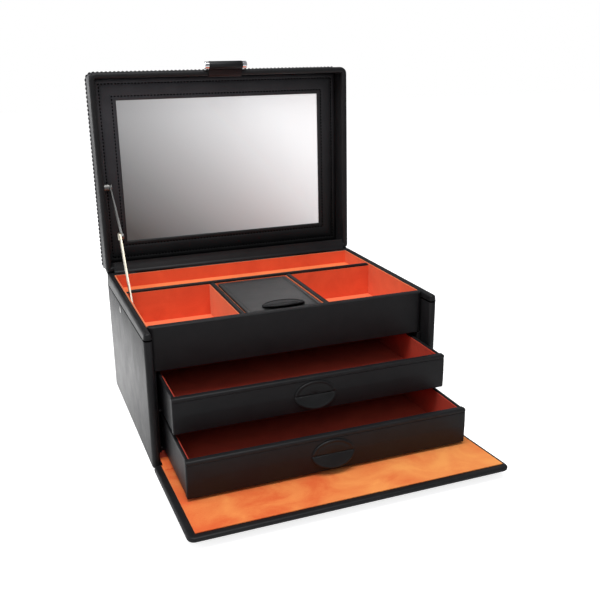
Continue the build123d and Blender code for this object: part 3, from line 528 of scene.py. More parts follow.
def rounded_outline(corners, inset, steps=6):
    """The points of a polygon of (x, y, radius) corners, counter-clockwise, moved inwards. No
    corner is rounder than its sides have room for, or sharper than the sharpest fold."""
    count = len(corners)
    given = [Vector(corner[:2]) for corner in corners]
    runs = [(given[(i + 1) % count] - given[i]).normalized() for i in range(count)]
    lefts = [Vector((-run.y, run.x)) for run in runs]
    moved = [
        given[i] + inset * (lefts[i - 1] + lefts[i]) / (1 + lefts[i - 1].dot(lefts[i])) for i in range(count)
    ]
    points = []
    for i in range(count):
        before, after, corner = runs[i - 1], runs[i], moved[i]
        turn = atan2(before.x * after.y - before.y * after.x, before.dot(after))
        side = 1 if turn > 0 else -1
        room = SIDE_SHARE * min((corner - moved[i - 1]).length, (moved[(i + 1) % count] - corner).length)
        bend = abs(sin(turn / 2) / cos(turn / 2))
        reach = min(max(corners[i][2] - side * inset, SHARPEST) * bend, room)
        centre = corner - before * reach + lefts[i - 1] * reach / bend * side
        arm = corner - before * reach - centre
        for step in range(steps + 1):
            angle = turn * step / steps
            turned = (arm.x * cos(angle) - arm.y * sin(angle), arm.x * sin(angle) + arm.y * cos(angle))
            points.append(centre + Vector(turned))
    return points


def quarter(inset, height, radius, turn, steps=5):
    """Profile points of a rounded edge. turn is "in" for an upper edge, "out" for a lower one."""
    angles = [pi / 2 * step / steps for step in range(steps + 1)]
    if turn == "in":
        return [(inset + radius * (1 - cos(a)), height - radius * (1 - sin(a))) for a in angles]
    return [(inset + radius * (1 - sin(a)), height + radius * (1 - cos(a))) for a in angles]


# %% [markdown]
# A skin is made of rings of points, with quads between each ring and the next. Its end
# is a flat cap, or a fan of triangles round a tip where the end is domed. The smooth
# shading breaks at sharp edges, so a board's edge stays crisp and its roll stays soft.

# %% Skins
WELD = 1e-6
CRISP = radians(50)


def skin_faces(rings, count, first=0, closed=False):
    """Quads between rings of count points, from the point called first on."""
    faces = []
    for ring in range(rings if closed else rings - 1):
        low = first + ring * count
        high = first + (ring + 1) % rings * count
        for i in range(count):
            j = (i + 1) % count
            faces.append((low + i, low + j, high + j, high + i))
    return faces


def fan_faces(first, count, tip):
    """Triangles between a ring of points and a tip."""
    return [(first + i, first + (i + 1) % count, tip) for i in range(count)]


def mesh_object(name, points, faces, *materials):
    """A mesh object from points in millimetres, with its faces turned outwards."""
    data = bpy.data.meshes.new(name)
    data.from_pydata([Vector(p) * MM for p in points], [], faces)
    shape = bmesh.new()
    shape.from_mesh(data)
    bmesh.ops.remove_doubles(shape, verts=shape.verts, dist=WELD)
    bmesh.ops.recalc_face_normals(shape, faces=shape.faces)
    shape.to_mesh(data)
    shape.free()
    for material in materials:
        data.materials.append(material)
    data.shade_smooth()
    data.set_sharp_from_angle(angle=CRISP)
    made = bpy.data.objects.new(name, data)
    bpy.context.scene.collection.objects.link(made)
    return made


def around(name, corners, profile, place, material, closed=False):
    """A profile of (inset, height) points run round an outline, with its ends capped or joined."""
    rings = [[place(p.x, p.y, height) for p in rounded_outline(corners, inset)] for inset, height in profile]
    count = len(rings[0])
    faces = skin_faces(len(rings), count, closed=closed)
    if not closed:
        faces.append(tuple(range(count)))
        faces.append(tuple(range((len(rings) - 1) * count, len(rings) * count)))
    return mesh_object(name, [p for ring in rings for p in ring], faces, material)


def rectangle(x0, y0, x1, y1, *radii):
    """Corners of a rectangle, counter-clockwise from its low corner; one radius, or one for each."""
    radii = radii * 4 if len(radii) == 1 else radii
    return list(zip((x0, x1, x1, x0), (y0, y0, y1, y1), radii))


def flat(x, y, z):
    """An outline seen from above."""
    return (x, y, z)


def across(y, z, x):
    """An outline in the case's side view, with its profile's height across the case."""
    return (x, y, z)


# %% [markdown]
# The lid and the flap stand at an angle, so their pieces are given in their own
# frames. A lid place is (x, distance from the hinge, depth above the rim).

# %% Places on the lid and the flap
DEPTH = 198.0
HEIGHT = 124.0
HALF_WIDE = 137.5
LID_OPEN = radians(92.0)
LID_LONG = 200.2
FLAP_TILT = radians(3.3)
FLAP_AXIS = (-3.0, 2.1)


def on_lid(x, along, deep):
    """along is negative, away from the hinge, as the CAD has it."""
    return (
        x,
        DEPTH + along * cos(LID_OPEN) + deep * sin(LID_OPEN),
        HEIGHT - along * sin(LID_OPEN) + deep * cos(LID_OPEN),
    )


def lid_side(along, deep, x):
    """The lid's side view, with x across."""
    return on_lid(x, along, deep)


def on_flap(x, along, high):
    """along is negative, away from the flap's hinge, and high is above the board's middle."""
    return (
        x,
        FLAP_AXIS[0] + along * cos(FLAP_TILT) + high * sin(FLAP_TILT),
        FLAP_AXIS[1] - along * sin(FLAP_TILT) + high * cos(FLAP_TILT),
    )


# %% [markdown]
# ## Stitches
# A stitch is a short fat thread between two holes. One Geometry Nodes tree walks along
# a path, puts a thread at each step and leans it if asked, as in the slanted stitches
# that close the lid's edge. The paths are plain polylines that follow the leather.

# %% Stitch tree
THREAD_SIDES = 8
THREAD_RINGS = 6


def stitch_tree():
    """Threads of one size along a path, each turned the path's way and then leant."""
    tree = bpy.data.node_groups.new("stitches", "GeometryNodeTree")
    tree.interface.new_socket("Path", in_out="INPUT", socket_type="NodeSocketGeometry")
    for label, default in (("Pitch", 0.003), ("Length", 0.0022), ("Thickness", 0.0005)):
        made = tree.interface.new_socket(label, in_out="INPUT", socket_type="NodeSocketFloat")
        made.default_value = default
    tree.interface.new_socket("Lean", in_out="INPUT", socket_type="NodeSocketVector")
    tree.interface.new_socket("Thread", in_out="INPUT", socket_type="NodeSocketMaterial")
    tree.interface.new_socket("Stitches", in_out="OUTPUT", socket_type="NodeSocketGeometry")
    given, out = node(tree, "NodeGroupInput"), node(tree, "NodeGroupOutput")
    link = tree.links.new
    path = node(tree, "GeometryNodeMeshToCurve")
    steps = node(tree, "GeometryNodeResampleCurve", mode="LENGTH")
    link(given.outputs["Path"], path.inputs["Mesh"])
    link(path.outputs["Curve"], steps.inputs["Curve"])
    link(given.outputs["Pitch"], steps.inputs["Length"])
    ahead = node(tree, "GeometryNodeInputTangent")
    leant = node(tree, "ShaderNodeVectorMath", operation="ADD")
    link(ahead.outputs["Tangent"], leant.inputs[0])
    link(given.outputs["Lean"], leant.inputs[1])
    turn = node(tree, "FunctionNodeAlignRotationToVector", axis="X")
    link(leant.outputs["Vector"], turn.inputs["Vector"])
    ball = node(tree, "GeometryNodeMeshUVSphere")
    ball.inputs["Segments"].default_value = THREAD_SIDES
    ball.inputs["Rings"].default_value = THREAD_RINGS
    ball.inputs["Radius"].default_value = 0.5
    size = node(tree, "ShaderNodeCombineXYZ")
    link(given.outputs["Length"], size.inputs["X"])
    link(given.outputs["Thickness"], size.inputs["Y"])
    link(given.outputs["Thickness"], size.inputs["Z"])
    copies = node(tree, "GeometryNodeInstanceOnPoints")
    link(steps.outputs["Curve"], copies.inputs["Points"])
    link(ball.outputs["Mesh"], copies.inputs["Instance"])
    link(turn.outputs["Rotation"], copies.inputs["Rotation"])
    link(size.outputs["Vector"], copies.inputs["Scale"])
    real = node(tree, "GeometryNodeRealizeInstances")
    painted = node(tree, "GeometryNodeSetMaterial")
    link(copies.outputs["Instances"], real.inputs["Geometry"])
    link(real.outputs["Geometry"], painted.inputs["Geometry"])
    link(given.outputs["Thread"], painted.inputs["Material"])
    link(painted.outputs["Geometry"], out.inputs["Stitches"])
    return tree


STITCHES = stitch_tree()
print("tree", STITCHES.name, "with", len(STITCHES.nodes), "nodes")


def stitch(name, paths, body, pitch, length, thickness, lean=(0, 0, 0)):
    """Stitches along closed paths in millimetres, as a plain mesh that rides on a body."""
    points, edges = [], []
    for path in paths:
        first = len(points)
        points += [Vector(p) * MM for p in path]
        edges += [(first + i, first + i + 1) for i in range(len(path) - 1)]
        edges.append((len(points) - 1, first))
    data = bpy.data.meshes.new(name + "_path")
    data.from_pydata(points, edges, [])
    guide = bpy.data.objects.new(name + "_path", data)
    bpy.context.scene.collection.objects.link(guide)
    modifier = guide.modifiers.new("stitches", "NODES")
    modifier.node_group = STITCHES
    sockets = {item.name: item.identifier for item in STITCHES.interface.items_tree if item.in_out == "INPUT"}
    sizes = {"Pitch": pitch * MM, "Length": length * MM, "Thickness": thickness * MM}
    for label, value in (*sizes.items(), ("Lean", lean), ("Thread", THREAD)):
        modifier[sockets[label]] = value
    seen = guide.evaluated_get(bpy.context.evaluated_depsgraph_get())
    result = bpy.data.meshes.new_from_object(seen)
    bpy.data.objects.remove(guide)
    result.name = name
    result.shade_smooth()
    made = bpy.data.objects.new(name, result)
    bpy.context.scene.collection.objects.link(made)
    print(name, len(result.polygons), "faces")
    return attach(made, body)


# %% [markdown]
# ## Case
# One skin of leather wraps the three walls. It is rolled over the top edge, and a seam
# runs below the roll. The outline is the walls' plan, so the corners come out round.

# %% Leather of the walls
WALL = 7.0
SEAM_Z = 115.4
BACK_Y = DEPTH - WALL
IN_X = HALF_WIDE - WALL
STRAIGHT_TO = 60.0
walls_plan = [
    (-HALF_WIDE, 0, 4.6),
    (-IN_X, 0, 2.2),
    (-IN_X, BACK_Y, 0.5),
    (IN_X, BACK_Y, 0.5),
    (IN_X, 0, 2.2),
    (HALF_WIDE, 0, 4.6),
    (HALF_WIDE, DEPTH, 3.0),
    (-HALF_WIDE, DEPTH, 3.0),
]
BEAD = 2.0
walls_profile = [
    *quarter(0, 0, 2.4, "out"),
    (0, STRAIGHT_TO),
    (0, SEAM_Z - 1.0),
    (0.4, SEAM_Z - 0.5),
    (0.9, SEAM_Z),
    (0.4, SEAM_Z + 0.5),
    (-0.1, SEAM_Z + 0.9),
    (0.1, SEAM_Z + 2.6),
    *quarter(0.35, HEIGHT, BEAD, "in", 6),
]
SEAM_LOW = SEAM_Z - 1.0
SEAM_HIGH = SEAM_Z + 1.1
ROLL_FROM = HEIGHT - BEAD
SEAM_AT_BACK = -2.4
SEAM_CLIMB = 5.0


def bound_wall(x, y, z):
    """A place on the walls. The seam climbs from the back to the front, and the leather follows."""
    climb = SEAM_AT_BACK + SEAM_CLIMB * (1 - y / DEPTH)
    if z < SEAM_LOW:
        share = (z - STRAIGHT_TO) / (SEAM_LOW - STRAIGHT_TO)
    else:
        share = (ROLL_FROM - z) / (ROLL_FROM - SEAM_HIGH)
    return (x, y, z + climb * min(max(share, 0), 1))


case_leather = around("case_leather", walls_plan, walls_profile, bound_wall, BLACK_LEATHER)
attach(case_leather, "case")
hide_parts("left_wall", "right_wall", "back_wall")
seam_profile = [
    (1.2, SEAM_Z - 0.8),
    (0.1, SEAM_Z - 0.85),
    (-0.1, SEAM_Z),
    (0.0, SEAM_Z + 0.65),
    (1.2, SEAM_Z + 0.6),
]
wall_seam = around("wall_seam", walls_plan, seam_profile, bound_wall, THREAD, closed=True)
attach(wall_seam, "case")
print("case leather", len(case_leather.data.polygons), "faces")
print("thread in its seam", len(wall_seam.data.polygons), "faces")

# %% [markdown]
# The stay turns on a rivet through the left wall, and its head shows outside as a small
# dome in a darker copy of the nickel, painted shade. A sphere would be too full, so rings shrink along a
# quarter circle that is pressed low, and the rim is turned under into the leather.

# %% Cap of the stay's rivet
RIM_SHARE = 0.18


def dome(name, at, axis, radius, rise, material, steps=5, count=28):
    """A low rivet head whose rim is turned under."""
    axis = Vector(axis).normalized()
    side = axis.orthogonal().normalized()
    other = axis.cross(side)
    rings = [(radius * 0.92, -0.3), (radius, 0.0), (radius, RIM_SHARE * rise)]
    for step in range(1, steps):
        angle = pi / 2 * step / steps
        rings.append((radius * cos(angle), rise * (RIM_SHARE + (1 - RIM_SHARE) * sin(angle))))
    points = []
    for reach, high in rings:
        for i in range(count):
            turn = 2 * pi * i / count
            points.append(Vector(at) + axis * high + (side * cos(turn) + other * sin(turn)) * reach)
    points.append(Vector(at) + axis * rise)
    faces = skin_faces(len(rings), count)
    faces.append(tuple(range(count)))
    faces += fan_faces((len(rings) - 1) * count, count, len(points) - 1)
    return mesh_object(name, points, faces, material)


STAY_CASE = (117.0, 110.0)
CAP_RADIUS = 3.4
CAP_RISE = 0.9
rivet_cap = dome("stay_rivet_cap", (-HALF_WIDE, *STAY_CASE), (-1, 0, 0), CAP_RADIUS, CAP_RISE, SHADED_NICKEL)
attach(rivet_cap, "case")
print("rivet cap", len(rivet_cap.data.polygons), "faces")

# %% [markdown]
# The long divider's top edge is bound in leather, because the stay and fingers rub on it.
# The binding is a small rounded section run across the case, and stops short of the stay.

# %% Binding of the long divider


def end_rounded(low, high, radius, steps=4):
    """Profile (inset, x) of a bar whose two ends are rounded."""
    angles = [pi / 2 * step / steps for step in range(steps + 1)]
    start = [(radius * (1 - sin(a)), low + radius * (1 - cos(a))) for a in angles]
    finish = [(radius * (1 - sin(a)), high - radius * (1 - cos(a))) for a in reversed(angles)]
    return start + finish


divider_low, divider_high = (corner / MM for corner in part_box("long_divider"))
BINDING_PROUD = 0.2
BINDING_RISE = 1.3
BINDING_TALL = 3.0
STAY_GAP = 0.8
WALL_GAP = 1.2
binding_top = divider_high.z + BINDING_RISE
binding_front = divider_low.y - BINDING_PROUD
binding_back = divider_high.y + BINDING_PROUD
binding_section = rectangle(
    binding_front, binding_top - BINDING_TALL, binding_back, binding_top, 0.3, 0.3, 1.3, 1.3
)
binding_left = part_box("stay_lower_arm")[1].x / MM + STAY_GAP
binding_right = divider_high.x - WALL_GAP
binding_ends = end_rounded(binding_left, binding_right, 0.6)
binding = around("divider_binding", binding_section, binding_ends, across, BLACK_LEATHER)
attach(binding, "case")
print("binding from", round(binding_left, 1), "to", round(binding_right, 1), "top", round(binding_top, 1))

# %% [markdown]
# ## Lid
# The lid is a shallow tray of board in one skin. Its rim is rolled and its top panel is
# a second piece, closed to the sides with slanted stitches that stand proud of the edge.

# %% Leather of the lid
LID_WALL = 6.0
FRAME_FACE = 21.0
lid_plan = rectangle(-HALF_WIDE, -LID_LONG, HALF_WIDE, 0, 7.0, 7.0, 4.0, 4.0)
lid_profile = [
    (LID_WALL, 25.4),
    (LID_WALL, 3.4),
    (5.7, 2.0),
    (5.0, 1.1),
    (3.9, 0.65),
    (2.6, 0.6),
    (1.4, 0.9),
    (0.5, 1.7),
    (0.1, 2.9),
    (0, 4.4),
    (0, 24.0),
    (0.3, 24.6),
    (0.65, 24.9),
    (0.2, 25.3),
    (-0.2, 25.9),
    (-0.25, 26.8),
    (0.15, 27.7),
    (0.9, 28.4),
    (2.2, 28.85),
    (4.5, 29.0),
    (14.0, 29.0),
]
lid_leather = around("lid_leather", lid_plan, lid_profile, on_lid, BLACK_LEATHER)
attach(lid_leather, "lid")
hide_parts("lid_panel", "lid_wall_left", "lid_wall_right", "lid_wall_front", "lid_wall_back")
EDGE_ROW = 26.2
EDGE_PROUD = 0.3
edge_path = [on_lid(p.x, p.y, EDGE_ROW) for p in rounded_outline(lid_plan, -EDGE_PROUD)]
stitch("lid_edge_stitches", [edge_path], "lid", pitch=4.2, length=3.3, thickness=1.3, lean=(0, 0.5, 0))

# %% [markdown]
# The mirror sits in a padded border. Two rows of stitches hold the padding: one near the
# lid's walls and one beside the glass.

# %% Mirror border
BORDER_HALF = HALF_WIDE - LID_WALL - 0.1
OUTER_ROW = 5.0
INNER_ROW = 17.2
GLASS_EDGE = 21.4
BEHIND_PADDING = 24.8
border_plan = rectangle(-BORDER_HALF, -LID_LONG + LID_WALL + 0.3, BORDER_HALF, -LID_WALL - 0.3, 1.2)
border_profile = [
    (0, BEHIND_PADDING),
    (0, FRAME_FACE + 0.9),
    (0.8, FRAME_FACE + 0.2),
    (2.4, FRAME_FACE - 0.1),
    (OUTER_ROW - 0.9, FRAME_FACE - 0.2),
    (OUTER_ROW, FRAME_FACE + 0.2),
    (OUTER_ROW + 0.9, FRAME_FACE - 0.2),
    (OUTER_ROW + 3.0, FRAME_FACE - 0.5),
    (OUTER_ROW + 6.0, FRAME_FACE - 0.7),
    (OUTER_ROW + 9.0, FRAME_FACE - 0.5),
    (INNER_ROW - 0.8, FRAME_FACE - 0.3),
    (INNER_ROW, FRAME_FACE + 0.1),
    (INNER_ROW + 0.7, FRAME_FACE - 0.2),
    (GLASS_EDGE - 1.0, FRAME_FACE - 0.2),
    (GLASS_EDGE - 0.3, FRAME_FACE + 0.2),
    (GLASS_EDGE, FRAME_FACE + 1.0),
    (GLASS_EDGE, BEHIND_PADDING),
]
mirror_border = around("mirror_border", border_plan, border_profile, on_lid, INNER_LEATHER, closed=True)
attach(mirror_border, "lid")
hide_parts("mirror_frame")
rows = [
    [on_lid(p.x, p.y, FRAME_FACE) for p in rounded_outline(border_plan, inset, 3)]
    for inset in (OUTER_ROW, INNER_ROW)
]
stitch("mirror_border_stitches", rows, "lid", pitch=3.4, length=2.4, thickness=1.3)

# %% [markdown]
# A leather spine joins the back wall to the lid behind the hinge. It is made as it lies
# with the lid open, and rides on neither body.

# %% Spine
STRIP_EDGE = 0.25


def strip(name, line, place, low, high, thick, *materials):
    """A strap of one thickness along a line, from low to high across."""
    over, under = [], []
    for i, point in enumerate(line):
        before, after = Vector(line[max(i - 1, 0)]), Vector(line[min(i + 1, len(line) - 1)])
        along = (after - before).normalized()
        side = Vector((-along.y, along.x)) * thick / 2
        over.append(Vector(point) + side)
        under.append(Vector(point) - side)
    outline = over + under[::-1]
    count = len(outline)
    edge = min(STRIP_EDGE, thick / 3)
    stations = [(low, 1 - edge / thick), (low + edge, 1), (high - edge, 1), (high, 1 - edge / thick)]
    points = []
    for x, share in stations:
        for i in range(count):
            mate = outline[count - 1 - i]
            middle = (outline[i] + mate) / 2
            at = middle + (outline[i] - middle) * share
            points.append(place(at.x, at.y, x))
    faces = skin_faces(len(stations), count)
    for first in (0, (len(stations) - 1) * count):
        last = first + count - 1
        faces += [(first + i, first + i + 1, last - i - 1, last - i) for i in range(len(line) - 1)]
    return mesh_object(name, points, faces, *materials)


SPINE_HALF = 136.4
SPINE_THICK = 0.5
SPINE_LOW = 108.0
SPINE_BEND = 4.75
BEND_STEPS = 10
spine_back = DEPTH + SPINE_THICK / 2
spine_top = HEIGHT - SPINE_THICK / 2
bend_centre = (spine_back + SPINE_BEND, spine_top - SPINE_BEND)
spine_line = [(spine_back, SPINE_LOW + 2.2 * i) for i in range(5)]
for step in range(BEND_STEPS + 1):
    angle = pi / 2 * step / BEND_STEPS
    spine_line.append((bend_centre[0] - SPINE_BEND * cos(angle), bend_centre[1] + SPINE_BEND * sin(angle)))
spine_line += [(DEPTH + 7 + 2.0 * i, spine_top + 0.07 * i) for i in range(4)]
spine = strip("hinge_spine", spine_line, across, -SPINE_HALF, SPINE_HALF, SPINE_THICK, BLACK_LEATHER)
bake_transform(spine)
print("spine of", len(spine_line), "points and", len(spine.data.polygons), "faces")

# %% [markdown]
# Inside, a second strip lies over the hinge's leaves, from the top of the back wall up
# onto the lid's rim. Only its soft roll shows below the mirror.

# %% Gusset
GUSSET_HALF = 129.6
GUSSET_THICK = 0.6
gusset_line = [
    (192.2, 124.5),
    (194.3, 124.9),
    (195.3, 125.6),
    (195.8, 126.7),
    (196.3, 128.3),
    (197.2, 130.3),
    (198.0, 132.4),
    (198.35, 134.6),
]
gusset = strip("hinge_gusset", gusset_line, across, -GUSSET_HALF, GUSSET_HALF, GUSSET_THICK, BLACK_LEATHER)
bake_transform(gusset)
print("gusset", len(gusset.data.polygons), "faces")

# %% [markdown]
# ## Latch
# A strap is glued over the lid's rim and ends in a loop that holds a metal bar. It bends
# where it leaves the rim, and is made as it lies, in one piece that rides on neither body.

# %% Strap
TAB_HALF = 17.5
TAB_THICK = 1.05
BAR = (-LID_LONG - 4.4, -1.5)
LOOP_R = 3.6
LOOP_START = radians(120)
LOOP_TURN = radians(296)
LOOP_STEPS = 24
over_rim = [
    (6.6, 12.2),
    (6.6, 8.0),
    (6.6, 3.0),
    (6.4, 1.3),
    (5.7, 0.3),
    (4.5, 0.0),
    (2.5, -0.05),
    (0.6, -0.1),
    (-0.4, -0.12),
]
strap_line = [(along - LID_LONG, deep) for along, deep in over_rim]
for step in range(LOOP_STEPS + 1):
    angle = LOOP_START - LOOP_TURN * step / LOOP_STEPS
    strap_line.append((BAR[0] - LOOP_R * cos(angle), BAR[1] + LOOP_R * sin(angle)))
latch_strap = strip(
    "latch_strap", strap_line, lid_side, -TAB_HALF, TAB_HALF, TAB_THICK, TAB_LEATHER, STRAP_LEATHER
)
rim_end = on_lid(0, -LID_LONG - 0.9, 0)[2] * MM
for face in latch_strap.data.polygons:
    face.material_index = 1 if face.center.z < rim_end else 0
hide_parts("latch_strap_root", "latch_loop")
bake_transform(latch_strap)
print("strap of", len(strap_line), "points and", len(latch_strap.data.polygons), "faces")

# %% [markdown]
# ## Flap
# The front flap is a thin board in leather with rounded edges. The leather is turned over
# the edge, so its rim runs round the suede. An outline with a low, full profile gives both.

# %% Flap leather
FLAP_THICK = 4.2
FLAP_REACH = 125.4
flap_plan = rectangle(-HALF_WIDE, -FLAP_REACH, HALF_WIDE, FLAP_THICK / 2, 6.0, 6.0, 5.0, 5.0)
flap_profile = [
    *quarter(0, -FLAP_THICK / 2, FLAP_THICK / 2 - 0.2, "out"),
    *quarter(0, FLAP_THICK / 2, FLAP_THICK / 2 - 0.4, "in"),
    (4.2, FLAP_THICK / 2 + 0.15),
    (5.2, FLAP_THICK / 2 - 0.1),
    (6.4, FLAP_THICK / 2 - 0.2),
]
flap_leather = around("flap_leather", flap_plan, flap_profile, on_flap, BLACK_LEATHER)
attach(flap_leather, "flap")
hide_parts("flap_board")
print("flap leather", len(flap_leather.data.polygons), "faces")

# %% [markdown]
# A narrow strip of suede bends from the bay's floor onto the flap and hides the hinge. Like
# the lid's spine, it is made as it lies and rides on neither body.

# %% Suede over the flap's hinge
flap_bend = [(4.5, 7.4), (0.5, 7.35), (-2.0, 6.95), (-4.5, 6.2), (-7.0, 5.6), (-10.0, 5.5), (-14.0, 5.72)]
SUEDE_HALF = 130.1
SUEDE_THICK = 0.5
lit_flap_suede = strip("flap_hinge_suede", flap_bend, across, -SUEDE_HALF, SUEDE_HALF, SUEDE_THICK, LIT_FLAP_SUEDE)
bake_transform(lit_flap_suede)
print("suede over the flap's hinge", len(lit_flap_suede.data.polygons), "faces")

# %% [markdown]
# ## Drawers
# Each drawer front is a padded board. The leather is rolled over its top edge and the
# roll ends in a crease, which the section shows: the front is that section, run across.

# %% Drawer fronts
DRAWERS = (("upper", 37.3, 48.2, 80.0), ("lower", 76.0, 11.0, 43.8))
FRONT_HALF = 125.4
FRONT_THICK = 6.5
ROLL = 3.2
END_ROUND = 1.2


def drawer_front(name, out, bottom, top):
    """The padded front of one drawer, from its section in the side view."""
    face = -out
    section = [
        (face + 0.2, bottom, 1.3),
        (face + FRONT_THICK, bottom, 0.5),
        (face + FRONT_THICK, top - 0.1, 1.6),
        (face - 0.3, top, 1.5),
        (face - 0.3, top - ROLL, 0.9),
        (face + 0.5, top - ROLL - 0.2, 0.2),
        (face, top - ROLL - 0.7, 0.5),
        (face - 0.3, (bottom + top) / 2, 20.0),
    ]
    ends = end_rounded(-FRONT_HALF, FRONT_HALF, END_ROUND)
    made = around(f"{name}_drawer_leather", section, ends, across, BLACK_LEATHER)
    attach(made, f"{name}_drawer")
    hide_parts(f"{name}_drawer_front")
    print(made.name, len(made.data.polygons), "faces")


for drawer in DRAWERS:
    drawer_front(*drawer)

# %% [markdown]
# The pulls are ovals of soft leather with a pressed border. The upper half is sewn down
# and the lower half stands away below a crease, so that a finger can get behind it.

# %% Pulls
PULL_X = -1.5
PULL_WIDE = 38.0
PULL_TALL = 12.4
PULL_THICK = 1.6
PULL_BACK = 0.05
BACK_RIM = 0.3
PULL_FLARE = radians(22)
CREASE_LONG = 1.4
RIM = 0.99
RING_SHARES = (0.2, 0.4, 0.58, 0.72, 0.80, 0.84, 0.88, 0.92, 0.96, 1.0)


def hump(distance, reach):
    """One at no distance, and down to nothing at the reach."""
    return max(0, 1 - abs(distance) / reach)


def swell(share, up):
    """Thickness of a pull at a share of the way to its rim; up is negative below the crease."""
    border, groove = (0.26, -0.34) if up > 0 else (0.12, -0.12)
    pressed = border * hump(share - 0.93, 0.09) + groove * hump(share - 0.82, 0.05)
    fold = -0.55 * hump(up, 0.8)
    edge = -0.45 if share > RIM else 0
    return PULL_THICK - 0.25 + pressed + fold + edge


def pull(name, crease, along_to, out_to, wide, flare, body, replaced):
    """An oval pull. along_to points to the half that is sewn down, out_to away from the surface."""
    crease, along_to, out_to = Vector(crease), Vector(along_to), Vector(out_to)
    rings = len(RING_SHARES)
    count = 64

    def place(side, up, high):
        turn = flare * min(max(-up / CREASE_LONG + 0.5, 0), 1)
        lower = min(up, 0)
        at = crease + Vector((side, 0, 0)) + along_to * max(up, 0)
        at += along_to * lower * cos(turn) - out_to * lower * sin(turn)
        return at + (out_to * cos(turn) + along_to * sin(turn)) * high

    def skin(thickness):
        points = []
        for share in RING_SHARES:
            for i in range(count):
                turn = 2 * pi * i / count
                side = wide / 2 * share * cos(turn)
                up = PULL_TALL * share * sin(turn)
                points.append(place(side, up, thickness(share, up)))
        return points

    def back(share, up):
        return PULL_BACK + (BACK_RIM if share > RIM else 0)

    points = skin(swell) + skin(back)
    tip = len(points)
    points += [place(0, 0, swell(0, 0)), place(0, 0, PULL_BACK)]
    faces = skin_faces(rings, count) + fan_faces(0, count, tip)
    faces += skin_faces(rings, count, rings * count) + fan_faces(rings * count, count, tip + 1)
    rim, back_rim = (rings - 1) * count, (2 * rings - 1) * count
    for i in range(count):
        j = (i + 1) % count
        faces.append((rim + i, rim + j, back_rim + j, back_rim + i))
    made = mesh_object(name, points, faces, TAB_LEATHER)
    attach(made, body)
    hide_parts(replaced)
    print(name, len(made.data.polygons), "faces")


for name, out, bottom, top in DRAWERS:
    pull(
        f"{name}_pull",
        (PULL_X, -out, (bottom + top) / 2 - 0.6),
        (0, 0, 1),
        (0, -1, 0),
        wide=PULL_WIDE,
        flare=PULL_FLARE,
        body=f"{name}_drawer",
        replaced=f"{name}_drawer_pull",
    )

# %% [markdown]
# ## Travel case
# The little case in the tray has a padded cover with a pressed line round it, and a pull
# of the same kind as the drawers.

# %% Travel case cover
TRAVEL = (-39.4, 23.6, 33.3, 126.6)
COVER_Z = 118.4
cover_profile = [
    (1.3, COVER_Z),
    (0.4, COVER_Z + 0.4),
    (0.0, COVER_Z + 1.3),
    (0.2, COVER_Z + 2.2),
    (1.0, COVER_Z + 2.8),
    (2.6, COVER_Z + 3.0),
    (3.2, COVER_Z + 2.65),
    (3.8, COVER_Z + 3.0),
    (7.0, COVER_Z + 3.3),
    (14.0, COVER_Z + 3.4),
]
cover_plan = rectangle(*TRAVEL, 3.0)
travel_cover = around("travel_cover_leather", cover_plan, cover_profile, flat, SMOOTH_LEATHER)
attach(travel_cover, "travel_cover")
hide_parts("travel_lid")
print("travel cover", len(travel_cover.data.polygons), "faces")
pull(
    "travel_pull_leather",
    (-2.0, 36.5, COVER_Z + 3.3),
    (0, 1, 0),
    (0, 0, 1),
    wide=41.0,
    flare=radians(14),
    body="travel_cover",
    replaced="travel_pull",
)

# %% [markdown]
# ## Studio
# The case stands on a white table that keeps its shadow. Leather shows its sheen only
# where it mirrors something bright, so the table has a band of light towards the back
# that glossy rays alone can see. The camera sees the table as plain white.

# %% Floor
FLOOR_SIZE = 8.0
FLOOR_BELOW = 0.0004
FLOOR_WHITE = (0.82, 0.82, 0.82, 1)
CAMERA_WHITE = 0.8


def floor_finish():
    """White paint, and a glow along Y that rises behind the case's front and falls off far away."""
    made, tree, shader = new_material("floor_white")
    shader.inputs["Base Color"].default_value = FLOOR_WHITE
    shader.inputs["Roughness"].default_value = 0.9
    shader.inputs["Specular IOR Level"].default_value = 0.0
    place = node(tree, "ShaderNodeTexCoord")
    parts = node(tree, "ShaderNodeSeparateXYZ")
    near = node(tree, "ShaderNodeMapRange")
    set_inputs(near, From_Min=-0.03, From_Max=0.22, To_Min=0.0, To_Max=1.45)
    far = node(tree, "ShaderNodeMapRange")
    set_inputs(far, From_Min=0.50, From_Max=0.85, To_Min=1.15, To_Max=0.1)
    band = node(tree, "ShaderNodeMath", operation="MULTIPLY")
    rays = node(tree, "ShaderNodeLightPath")
    both = node(tree, "ShaderNodeMath", operation="MULTIPLY")
    white = node(tree, "ShaderNodeMath", operation="MULTIPLY_ADD")
    white.inputs[1].default_value = CAMERA_WHITE
    glow = node(tree, "ShaderNodeEmission")
    total = node(tree, "ShaderNodeAddShader")
    tree.links.new(place.outputs["Object"], parts.inputs["Vector"])
    tree.links.new(parts.outputs["Y"], near.inputs["Value"])
    tree.links.new(parts.outputs["Y"], far.inputs["Value"])
    tree.links.new(near.outputs["Result"], band.inputs[0])
    tree.links.new(far.outputs["Result"], band.inputs[1])
    tree.links.new(band.outputs["Value"], both.inputs[0])
    tree.links.new(rays.outputs["Is Glossy Ray"], both.inputs[1])
    tree.links.new(rays.outputs["Is Camera Ray"], white.inputs[0])
    tree.links.new(both.outputs["Value"], white.inputs[2])
    tree.links.new(white.outputs["Value"], glow.inputs["Strength"])
    tree.links.new(shader.outputs["BSDF"], total.inputs[0])
    tree.links.new(glow.outputs["Emission"], total.inputs[1])
    tree.links.new(total.outputs["Shader"], tree.nodes["Material Output"].inputs["Surface"])
    return made


